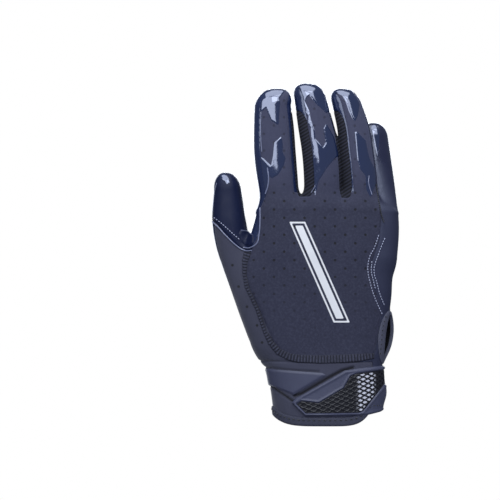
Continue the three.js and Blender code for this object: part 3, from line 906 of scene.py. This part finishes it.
def punched(tree, nearest, edge_on, face_on):
    """Full in a hole and nothing beside it, on cloth that faces out of the back."""
    hole = between(tree, nearest, HOLE_RADIUS * 0.75, HOLE_RADIUS * 1.25, 1.0, 0.0)
    return reckoned(tree, "MULTIPLY", hole, between(tree, facing(tree), edge_on, face_on))


def waves(tree, place, turn, pitch, **shape):
    """Ridges at a pitch, turned by an angle as seen from the back."""
    turned_place = node(tree, "Mapping", {"Vector": place, "Rotation": (0, math.radians(turn), 0)})
    inputs = {"Vector": turned_place.outputs[0], "Scale": math.pi / 10 / pitch, **shape}
    return node(tree, "TexWave", inputs, bands_direction="X").outputs["Fac"]


def knitted(tree, place, pitch, lean):
    """Height of fine knit loops in rows and columns."""
    shape = {"Distortion": 1.2, "Detail": 1.0, "Detail Scale": 2.0}
    rows, columns = (waves(tree, place, turn, pitch, **shape) for turn in (lean, lean + 90))
    return reckoned(tree, "MULTIPLY", rows, columns)


cloth_finish, tree, shader, place = material("back_cloth", (0.03, 0.032, 0.066), 0.85)
colour = mottled(tree, shader, place, (0.0135, 0.0145, 0.033), (0.020, 0.0215, 0.045), 45.0)
# The cloth is paler on the fingers, with fine light flecks all over
up = axis(tree, place, "Z")
paler = mixed(tree, 0.33, colour, (0.075, 0.08, 0.145))
paler_on_fingers = mixed(tree, between(tree, up, 0.15, 0.18), colour, paler)
flecks = between(tree, noise(tree, place, 620.0, 2.0, 0.7), 0.4, 0.72, 0.0, 0.3)
heathered = mixed(tree, flecks, paler_on_fingers, (0.05, 0.053, 0.092))
nearest = reckoned(tree, "MINIMUM", *(off_holes(tree, place, start) for start in HOLE_STARTS))
holes = punched(tree, nearest, -0.5, -0.75)
holes = reckoned(tree, "MULTIPLY", holes, between(tree, up, 0.06, 0.125, 0.2, 1.0))
holes = reckoned(tree, "MULTIPLY", holes, between(tree, up, 0.158, 0.172, 1.0, 0.45))
sunk = reckoned(tree, "MULTIPLY_ADD", holes, -4.0, knitted(tree, place, 0.55 * MM, 12))
raised_by(tree, shader, sunk, 0.45, 0.00012)
# The holes are painted near black: the dark lining seen through them, with painted shade in their depth
fill(shader, {
    "Base Color": mixed(tree, holes, heathered, (0.003, 0.003, 0.006)),
    "Sheen Weight": 0.2, "Sheen Roughness": 0.5, "Sheen Tint": (0.6, 0.65, 1),
})
back = sewn("perforated_back", cut_back, raised(BACK_LIFT, 0.6, 0.9), cloth_finish)
belongs(back, "back_cloth", "back_panel", "index_back", "middle_back", "ring_back")

# Finger films. Glossy film is welded onto the backs of the four fingers in sharp flame-like shapes,
# thin and smooth, with crisp edges that stand a little above the cloth.
FILMS = {
    "index_tip_film": [
        (260.2, 110.6), (258, 104.2), (260.5, 96.6), (266.5, 89), (275.5, 84), (286.5, 89),
        (279, 98.5), (280, 101), (278.4, 125.6), (271, 120.8), (265.9, 108.1), (261.5, 111.9)],
    "index_film": [
        (281.3, 136.8), (274.2, 142.8), (273, 156), (271, 166.2), (264, 159), (261, 157),
        (258.5, 175), (259, 190), (264, 201), (267.5, 190), (268.3, 176), (272, 178.5),
        (278, 175), (283.5, 166), (285.4, 158.8), (282.2, 152), (282.7, 145)],
    "middle_tip_film": [
        (295.6, 87.7), (299.1, 82), (307.4, 80), (318.3, 83), (325, 95), (328.5, 111),
        (326, 113.5), (319.8, 107.5), (317, 105.5), (309.3, 95.9), (307.1, 96.9), (304.8, 102),
        (309.3, 111.3), (310.6, 119.5), (314.4, 131), (315.1, 139.3), (323, 147.5), (325.3, 143),
        (323.3, 128.5), (326, 124), (333.5, 137), (338.5, 156), (335, 158), (326, 169),
        (318, 182), (315, 196), (312.5, 190), (312.8, 150), (311.2, 137.4), (310.6, 128.5),
        (308, 123.4), (308.4, 117), (305.2, 113.2), (306.1, 110), (302.3, 102.3), (301.7, 97.2),
        (297.2, 92.1)],
    "ring_tip_film": [
        (334, 92), (338, 86), (350, 86), (356.6, 98), (359.5, 104.1), (357.7, 115.6),
        (354.6, 122.1), (351.8, 118.2), (348.3, 110.5), (345.7, 102.2), (342.2, 95.8)],
    "ring_film": [
        (354.6, 132.2), (357.2, 132.2), (360.5, 136), (365.5, 141), (367.4, 152), (369.3, 159),
        (375, 170), (375, 185), (370, 198), (366, 190), (365, 176), (360, 170),
        (357, 160), (356, 148)],
}
LITTLE_FILM = [
    (371.7, 128), (373, 124.2), (376.4, 123.4), (379.2, 129), (380, 137), (378.4, 158), (375.6, 147),
    (373.4, 138)]
film_finish, _, shader, _ = film_like(
    "finger_film", (0.005, 0.012, 0.045), (0.007, 0.016, 0.055), 0.08, 0)
fill(shader, {"IOR": 2.6, "Specular Tint": (0.78, 0.82, 1)})


def finer(cloth):
    """Cloth with each facet made four, its new points on the skin."""
    points, faces = cloth
    numbers, where = np.unique(side_numbers(cloth), return_inverse=True)
    middle = onto_skin((points[numbers // len(points)] + points[numbers % len(points)]) / 2, 1)
    a, b, c = where.reshape(3, -1) + len(points)
    fresh = np.concatenate([
        np.column_stack([faces[:, 0], a, c]), np.column_stack([a, faces[:, 1], b]),
        np.column_stack([c, b, faces[:, 2]]), np.column_stack([a, b, c]),
    ])
    return np.vstack([points, middle]), fresh


def welded(name, cloth, pixels, height, deep):
    """A film cut to its outline and welded onto the cloth."""
    film_cloth = inside(cloth, drawn(from_photo(pixels)))
    belongs(sewn(name, film_cloth, raised(height, deep, 0.4), film_finish, wall=0.3), "thumb_film")


finger_cloth = finer(inside(cut_back, lambda points: 150 - points[:, 2]))
for name, pixels in FILMS.items():
    welded(name, finger_cloth, pixels, 0.55, 0.2)


def little_back(points):
    """The upper part of the little finger, as seen from the back."""
    return both(186 - points[:, 2], points[:, 1] - 20, 28 - points[:, 0])


welded("little_tip_film", finer(inside(cut_palm, little_back)), LITTLE_FILM, 0.3, 0.15)

# Print. One plain slanted bar stands in the middle of the back: a white core, a gap, a white outline.
# A smaller bar lies across the palm in outline alone. Both are thin ink, pressed on with heat.
BAR = from_photo([(289, 222), (305, 222), (349, 322), (333, 322)])
BAR_LINE = 1.15
BAR_CORE = 2.7
PALM_BAR = from_palm_view([(148, 312), (218, 346), (214, 358), (144, 324)])
PALM_BAR_LINE = 1.0
INK = 0.08
INK_WALL = 0.16

white_print, tree, shader, place = material("white_print", (0.72, 0.73, 0.78), 0.55)
mottled(tree, shader, place, (0.6, 0.6, 0.62), (0.74, 0.74, 0.76), 60.0)
raised_by(tree, shader, knitted(tree, place, 0.55 * MM, 12), 0.3, 0.00008)
bar_cloth = inside(finer(inside(cut_back, drawn(BAR, margin=2))), drawn(BAR))
bar_line, bar_inner = part(bar_cloth, lambda points: -off_outline(points, BAR) - BAR_LINE)
bar_core = inside(bar_inner, lambda points: off_outline(points, BAR) + BAR_CORE)
for name, cloth in {"bar_outline": bar_line, "bar_core": bar_core}.items():
    belongs(sewn(name, cloth, raised(BACK_LIFT + INK), white_print, wall=INK_WALL), "back_cloth")


def off_palm_bar(points):
    return both(off_outline(points, PALM_BAR), 4 - points[:, 1])


def palm_ink(points, edge):
    return palm_relief(points, np.full(len(points), 9.0)) + INK


palm_bar = inside(finer(inside(cut_palm, lambda points: off_palm_bar(points) - 2)), off_palm_bar)
palm_bar = inside(palm_bar, lambda points: -off_palm_bar(points) - PALM_BAR_LINE)
belongs(sewn("palm_bar_outline", palm_bar, palm_ink, white_print, wall=INK_WALL), "grip_skin")

# Seam tape. A ribbed tape lies over the seam between the back, the side panel and the cuff, sewn flat
# with rungs of thread across it.
TAPE_OUTER = [
    (243.5, 251.5), (241.8, 260), (242.3, 275), (244.6, 287.5), (250.5, 300), (255.2, 310), (262.3, 331),
    (268, 344), (276, 354), (287, 359.8), (297, 362), (320, 363.2), (345, 362.3), (360, 361), (374, 358.5)]
TAPE_INNER = [
    (252.6, 252), (248.8, 262), (246.9, 275), (249.6, 288), (254.6, 299), (259.4, 309.5), (266.8, 330),
    (273, 340.5), (280.5, 347.5), (290, 351.8), (299, 353.2), (320, 353.8), (345, 353), (360, 352.4),
    (374, 352)]
RUNG_PITCH = 2.1
tape_line = from_photo([((a + c) / 2, (b + d) / 2) for (a, b), (c, d) in zip(TAPE_OUTER, TAPE_INNER)])
tape_outline = from_photo(TAPE_OUTER + TAPE_INNER[::-1])
tape_cloth = inside(finer(finer(inside(uncut, drawn(tape_outline, 0, 1.5)))), drawn(tape_outline))


def rungs(points):
    """Full on each rung of thread across the tape, nothing between them."""
    return 0.5 + 0.5 * np.cos(2 * math.pi * from_line(points, tape_line)[1] / RUNG_PITCH)


def tape_relief(points, edge):
    return 0.45 + 0.3 * rungs(points) + rolled(edge, 0.9, 0.5)


def tape_rungs_and_shade(points):
    """Lighter on the rungs, with painted shade between them and along both edges."""
    return np.clip(-off_outline(points, tape_outline) / 1.3, 0, 1) * rungs(points) ** 1.5


# The tape's colour follows the mark: lighter on the rungs, painted shade between them and along both edges
tape_finish, tree, shader, place = material("seam_tape", (0.03, 0.031, 0.055), 0.8)
mark = node(tree, "Attribute", attribute_name="mark").outputs["Fac"]
rungs_and_shade = reckoned(tree, "MULTIPLY", mark, between(tree, noise(tree, place, 700.0), 0.3, 0.6, 0.45, 1.0))
fill(shader, {"Base Color": mixed(tree, rungs_and_shade, (0.009, 0.0095, 0.019), (0.048, 0.051, 0.086))})
raised_by(tree, shader, knitted(tree, place, 0.4 * MM, 40), 0.5, 0.00012)
belongs(sewn("seam_tape", tape_cloth, tape_relief, tape_finish, wall=0.6, mark=tape_rungs_and_shade), "side_cloth")

# Side seam stitches. Two rows of light thread run down both sides of the seam by the little finger,
# with a short third row where the panels overlap, and one row of dark thread runs above them.
SIDE_ROWS = [
    [(377.7, 236), (372.9, 249), (369, 256), (367.5, 262), (366.9, 268), (367.5, 274.7), (369.7, 284),
     (372.3, 293), (377.4, 305.7), (380.9, 313)],
    [(383.8, 239), (381.2, 244.7), (377.4, 255), (374.8, 262), (373.3, 268), (373.6, 274.7), (375.5, 281),
     (379.3, 295), (383, 304)],
    [(371, 262), (370.4, 271.5), (372.3, 280), (374.2, 287.5)],
]
side_rows = [on_back(row, 1.9) for row in SIDE_ROWS]
belongs(stitched("side_seam_stitches", side_rows, light_thread, 1.4, 0.33, 0.45), "back_cloth")
dark_row = on_back([(375.3, 185), (377.5, 198.3), (379.2, 208.3), (381.2, 216.7), (383, 221.7)], 1.5)
belongs(stitched("dark_seam_stitches", [dark_row], dark_thread, 1.6, 0.42, 0.5), "back_cloth")

# Thumb back. One smooth film-faced panel is sewn over the side panel with a rolled edge, and a rounded
# tab of the same film covers the web beside the first finger. Thin light cords edge both, and run along
# the seams at the fingers' sides; their light colour is painted highlight, glints on rolled film edges.
thumb_film, _, shader, _ = film_like(
    "thumb_film", (0.004, 0.0075, 0.030), (0.007, 0.011, 0.039), 0.42, 0)
fill(shader, {"IOR": 1.32})
belongs(sewn("thumb_panel", cut_thumb, raised(0, 0.7, 0.9), thumb_film), "thumb_film", "thumb_back")
THUMB_FILM = [
    (219, 172.5), (224, 172.5), (228.5, 178), (230, 182.5), (227, 184.5), (224.8, 180.8), (221, 178.8)]
thumb_tip = finer(inside(cut_thumb, lambda points: 160 - points[:, 2]))
welded("thumb_tip_film", thumb_tip, THUMB_FILM, 0.3, 0.15)
WEB = from_photo([
    (238.5, 234), (240.6, 229.6), (247, 230.8), (252.6, 233.8), (254.4, 238), (253.6, 243.5),
    (250, 246.6), (245, 245.6), (240.5, 241)])
web_cloth = inside(finer(inside(uncut, drawn(WEB, 12, 2))), drawn(WEB))
belongs(sewn("web_tab", web_cloth, raised(0.8, 0.7, 0.7), thumb_film, wall=0.8), "thumb_film")
# Radius of each light cord of painted highlight, and its line
GLINT_CORDS = {
    "thumb_border": (0.45, [
        (212.8, 221.6), (216.5, 225), (226, 235.6), (235.6, 245), (240.7, 248.8), (246.5, 251),
        (252.2, 250.6)]),
    "web_border": (0.45, [
        (243.3, 247.6), (249, 248.2), (253.8, 246.3), (257.3, 243), (259.3, 235), (260.4, 222.4),
        (260.5, 208)]),
    "web_fold": (0.42, [(240.6, 230.3), (247, 231.6), (252.6, 234.8)]),
    "thumb_edge": (0.25, [(217, 183), (215, 192), (213.8, 203), (213, 212)]),
    "index_edge": (0.28, [(261.3, 112), (260.9, 125), (261.2, 140), (261.9, 152)]),
    "index_root": (0.45, [(267.4, 168), (268.6, 178), (268, 186), (265.6, 194)]),
    "middle_root": (0.3, [(314.9, 185.4), (313.6, 189), (311, 193)]),
    "ring_root": (0.4, [(368.4, 176), (367.9, 183), (369, 188), (371.2, 195)]),
}
GLINT_CORD_LIFT = 0.45
# The cords' light colour is painted highlight: glints on the rolled edges of the films
cord_highlight = film_like("light_piping", (0.12, 0.13, 0.22), (0.18, 0.2, 0.31), 0.4, 0.15)[0]
for name, (radius, pixels) in GLINT_CORDS.items():
    profile = [(radius * a, GLINT_CORD_LIFT + radius * b) for a, b in round_about(8)]
    belongs(swept(name + "_piping", on_back(pixels, 1.0), profile, cord_highlight), "thumb_film")
thumb_row = on_back([(214.6, 217.9), (219.7, 221.8), (230.5, 231.6), (238.5, 238.8)], 2.0)
belongs(stitched("thumb_stitches", [thumb_row], light_thread, 1.5, 0.3, 0.3), "thumb_film")

# Side panel. Plain charcoal cloth runs from the web of the thumb down to the cuff, with a few holes
# beside its seam. The same cloth makes the back of the cuff, creased where the closure pulls it.
SIDE_HOLES = from_photo([(232.4, 265.2), (238.6, 286.5), (247, 306.5), (257, 325), (262, 342)])
side_finish, tree, shader, place = material("side_cloth", (0.036, 0.038, 0.07), 0.85)
colour = mottled(tree, shader, place, (0.03, 0.031, 0.055), (0.042, 0.044, 0.074), 60.0)
level = vector(tree, "MULTIPLY", place, (1, 0, 1))
nearest = 1.0
for across, up in SIDE_HOLES:
    away = vector(tree, "DISTANCE", level, (across * MM, 0, up * MM))
    nearest = reckoned(tree, "MINIMUM", away, nearest)
holes = punched(tree, nearest, -0.1, -0.3)
raised_by(tree, shader, knitted(tree, place, 0.45 * MM, 35), 0.4, 0.0001)
# The holes are painted near black: the dark lining seen through them, with painted shade in their depth
fill(shader, {
    "Base Color": mixed(tree, holes, colour, (0.004, 0.004, 0.007)),
    "Sheen Weight": 0.2, "Sheen Roughness": 0.5,
})
belongs(sewn("side_panel", cut_side, raised(0, 0.7, 0.9), side_finish), "side_cloth", "radial_gusset")
# Creases: depth, width, line
CUFF_CREASES = [
    (1.3, 0.8, [(258, 379), (273.2, 387.4), (283, 394), (293.3, 400.8)]),
    (1.4, 1.1, [(294, 394.6), (301, 392.6), (327, 377.4), (341, 370), (352, 367)]),
    (0.5, 0.8, [(258, 367), (272, 367.6), (298, 369.8), (318, 370.6)]),
]


def cuff_relief(points, edge):
    relief = rolled(edge, 0.7, 0.9)
    for depth, width, pixels in CUFF_CREASES:
        away = from_line(points, from_photo(pixels))[0]
        relief = relief - depth * np.exp(-((away / width) ** 2)) * (points[:, 1] < 4)
    return relief


def cuff_crease_shade(points):
    """Painted shade, dark in the creases."""
    return np.clip(cuff_relief(points, np.full(len(points), 9.0)) / -1.2, 0, 1)


# A copy of the side cloth, painted with shade in the cuff's creases
crease_shade_finish = side_finish.copy()
crease_shade_finish.name = "cloth_with_crease_shade"
tree = crease_shade_finish.node_tree
shader = tree.nodes["Principled BSDF"]
mark = node(tree, "Attribute", attribute_name="mark").outputs["Fac"]
fill(shader, {"Base Color": mixed(tree, mark, fed(shader, "Base Color"), (0.008, 0.008, 0.015))})
cuff = sewn("cuff_cloth", finer(cut_cuff), cuff_relief, crease_shade_finish, mark=cuff_crease_shade)
belongs(cuff, "side_cloth", "cuff_back")

# Gussets. Strips of dark ribbed knit let each pair of fingers spread. They stretch over the sides of
# the fingers that face each other, and are sewn in a little below the panels beside them.
knit, tree, shader, place = material("ribbed_knit", (0.005, 0.0055, 0.011), 0.9)
ribs = waves(tree, place, -58, 2.1 * MM, Distortion=0.6)
fill(shader, {"Base Color": mixed(tree, ribs, (0.0012, 0.0013, 0.003), (0.017, 0.018, 0.033))})
raised_by(tree, shader, ribs, 0.7, 0.0004)
for name, solid in zip(GUSSETS, ("gusset_index_middle", "gusset_middle_ring", "gusset_ring_pinky")):
    strip = sewn("knit_" + name, cut_gussets[name], raised(-0.2, 0.5, 0.9), knit)
    belongs(strip, "ribbed_knit", solid)

# Vent. The slit on the little finger side is bound with a soft strip, wide and stitched on the back,
# and standing open in a loop on the palm side.
binding, tree, shader, place = material("soft_binding", (0.1, 0.104, 0.155), 0.75)
mottled(tree, shader, place, (0.052, 0.055, 0.084), (0.075, 0.078, 0.116), 90.0)
raised_by(tree, shader, knitted(tree, place, 0.5 * MM, 0), 0.5, 0.00015)
turn = np.linspace(0, 2 * math.pi, 120, endpoint=False)
slit = laid_on(np.column_stack([
    np.full(len(turn), 70.0),
    VENT_Y + VENT_HALF_WIDTH * squared(np.cos(turn), VENT_SQUARENESS),
    VENT_UP + VENT_HALF_HEIGHT * squared(np.sin(turn), VENT_SQUARENESS),
]), (-1, 0, 0))
# The line runs so that the profile's places aside lie outside the slit
if ((slit - (0, VENT_Y, VENT_UP)) * along_skin(slit)[2])[:, 1:].sum() < 0:
    slit = slit[::-1]
front = np.clip((VENT_Y - slit[:, 1]) / VENT_HALF_WIDTH, 0, 1)
VENT_PROFILE = [
    (-0.16, -0.3), (-0.12, 0.7), (0.1, 1), (0.5, 0.95), (0.86, 0.8), (1, 0.35), (1, -0.3), (0.4, -1.4),
    (0, -1.5)]
width = 2.4 + 4.4 * front**0.7
vent = swept("vent_loop", slit, VENT_PROFILE, binding, closed=True, wide=width, flap=vent_flap)
belongs(vent, "binding", "vent_binding")
vent_row = on_back([(384.5, 316.5), (382, 324), (380.8, 333), (380, 342), (379, 353)], 3.2)
belongs(stitched("vent_stitches", [vent_row], dark_thread, 1.4, 0.4, 0.85), "binding")

# Hem. A folded stretch binding closes the wrist opening, over the cut edges of the palm and the cuff,
# and is sewn through with a row of dark stitches.
HEM_PROFILE = [
    (0.1, 6.2), (0.75, 6), (1, 5.2), (0.95, 3.6), (1, 2), (0.95, 0.9), (0.4, 0.1), (-0.4, 0),
    (-1.2, 0.3), (-1.55, 1.2), (-1.6, 3), (-1.5, 5), (-1.3, 6.2), (-0.6, 6.4)]


def cuff_ring(count, height):
    """Points round the cuff, from the thumb side over the back, at a height above the hem's edge."""
    angle = np.linspace(0, 2 * math.pi, count, endpoint=False)
    ring = np.column_stack([-37 * np.cos(angle), -20.4 * np.sin(angle), np.zeros(count)])
    for rounds in (3, 1):
        ring[:, 2] = hem_height(ring[:, 0]) + height
        ring = onto_skin(ring, rounds)
    return ring


rings = [cuff_ring(220, height) for _, height in HEM_PROFILE]
rings = np.array([ring + outward(ring) * out for ring, (out, _) in zip(rings, HEM_PROFILE)])
hem_finish, tree, shader, place = material("hem_binding", (0.045, 0.047, 0.076), 0.8)
mottled(tree, shader, place, (0.031, 0.0325, 0.054), (0.045, 0.047, 0.075), 120.0)
raised_by(tree, shader, knitted(tree, place, 0.6 * MM, 0), 0.5, 0.00015)
belongs(banded("hem_band", rings, hem_finish, closed=True), "binding", "hem_binding")
belongs(stitched("hem_stitches", [cuff_ring(63, 4.3)], dark_thread, 1.9, 0.42, 1.0), "binding")

# Closure. A moulded strap with raised edges comes round from the little finger side and closes on a
# smooth tab; a dark open net is set into its window over a dark ground with a band of painted highlight.
TAB = from_photo([(258, 367.6), (322, 372), (325.5, 374.4), (293.3, 393.6), (272.2, 385.6), (258, 386)])
STRAP = from_photo([
    (291.4, 401.7), (296.1, 396.9), (344, 369.6), (356.4, 367.7), (380.4, 365.3), (400, 364),
    (400, 410), (382.3, 410.6), (366, 414), (359.3, 414.6), (304.8, 415)])
WINDOW = from_photo([
    (296.6, 403), (301.2, 400.2), (318.2, 402), (343, 387.3), (349.7, 375.4), (355.5, 373), (376.5, 370.4),
    (400, 368), (400, 383.5), (382.3, 384), (361.5, 409.6), (357.4, 411.2), (305.7, 411.8)])
STRAP_LIFT = 1.15

# A fine sheet on the skin, from the hem up over the cuff and round its back from side to side
SHEET_STEP = 0.45
across = int(math.radians(230) * 34 / SHEET_STEP) + 1
up = int((45 - 6) / SHEET_STEP) + 1
angle, level = np.meshgrid(np.radians(np.linspace(-25, 205, across)), np.linspace(6, 45, up))
sheet = np.column_stack([(-39 * np.cos(angle)).ravel(), (-20 * np.sin(angle)).ravel(), level.ravel()])
for _ in range(3):
    sheet = onto_skin(sheet, 1)
    sheet[:, 2] = level.ravel()
a = (np.arange(up - 1)[:, None] * across + np.arange(across - 1)).ravel()
cuff_sheet = (sheet, np.concatenate([
    np.column_stack([a, a + 1, a + across]), np.column_stack([a + 1, a + across + 1, a + across])]))

moulded, tree, shader, place = material("moulded_closure", (0.04, 0.044, 0.084), 0.5)
mottled(tree, shader, place, (0.039, 0.043, 0.078), (0.053, 0.057, 0.101), 80.0)
raised_by(tree, shader, noise(tree, place, 2600.0), 0.25, 0.00008)
tab = sewn("closure_tab", inside(cuff_sheet, drawn(TAB, 6)), raised(0.95, 0.7, 0.8), moulded, wall=0.9)
belongs(tab, "moulded_closure", "wrist_tab")
window_cloth, frame_cloth = part(inside(cuff_sheet, drawn(STRAP, 6)), drawn(WINDOW, 0.5))


def strap_relief(points, edge):
    outer, inner = -off_outline(points, STRAP), off_outline(points, WINDOW)
    welt = 0.45 * np.exp(-((outer - 1.5) / 0.8) ** 2) + 0.45 * np.exp(-((inner - 1.0) / 0.7) ** 2)
    corner_away = (((points - (41, -3, 22)) / (5, 6, 7)) ** 2).sum(1)
    return STRAP_LIFT + welt + 2.2 * np.exp(-corner_away) + rolled(edge, 0.8, 0.5)


strap = sewn("closure_strap_frame", frame_cloth, strap_relief, moulded, wall=1.1)
belongs(strap, "moulded_closure", "closure_strap")
# Net: the two steps from hole to hole, the width of its bars as a share of a step, and the cuff's
# half sizes that the steps run round
NET_STEPS = np.array([(3.1, -1.3), (2.95, 1.9)])
NET_BAR = 0.34
CUFF_WIDTH, CUFF_DEPTH = 38.5, 20.4


def round_cuff(points):
    """How far points lie round the cuff from the middle of its back, in millimetres."""
    turn = np.linspace(-math.pi, math.pi, 721)
    steps = np.hypot(np.diff(CUFF_WIDTH * np.sin(turn)), np.diff(CUFF_DEPTH * np.cos(turn)))
    run = np.concatenate([[0], np.cumsum(steps)])
    return np.interp(np.arctan2(points[:, 0] / CUFF_WIDTH, -points[:, 1] / CUFF_DEPTH), turn, run - run[360])


def in_net_hole(points):
    """Inside the lozenge holes of the net."""
    cell = np.column_stack([round_cuff(points), points[:, 2]]) @ np.linalg.inv(NET_STEPS)
    off = np.abs(cell - np.floor(cell) - 0.5)
    return both((off.max(axis=1) - 0.5 + NET_BAR / 2) * 2.9, off_outline(points, WINDOW) + 0.5)


net_finish, tree, shader, place = material("black_net", (0.006, 0.006, 0.01), 0.45)
mottled(tree, shader, place, (0.004, 0.004, 0.007), (0.011, 0.011, 0.016), 200.0)
net_cloth = part(window_cloth, in_net_hole)[1]
net = sewn("strap_net", net_cloth, raised(STRAP_LIFT, 0.3, 0.3), net_finish, wall=0.6)
belongs(net, "strap_mesh", "strap_mesh")
# The ground under the net is near black, with a band of painted highlight, a reflection in light grey,
# across its middle
net_ground_highlight, tree, shader, place = material("net_ground_painted_highlight", (0.4, 0.4, 0.43), 0.4)
across = axis(tree, place, "X")
rising, falling = between(tree, across, 0.0185, 0.0225), between(tree, across, 0.0315, 0.0335, 1.0, 0.0)
highlight_band = reckoned(tree, "MULTIPLY", rising, falling)
fill(shader, {"Base Color": mixed(tree, highlight_band, (0.008, 0.008, 0.013), (0.62, 0.63, 0.72))})
belongs(sewn("net_ground", window_cloth, raised(0.45), net_ground_highlight, wall=0.4), "strap_mesh")
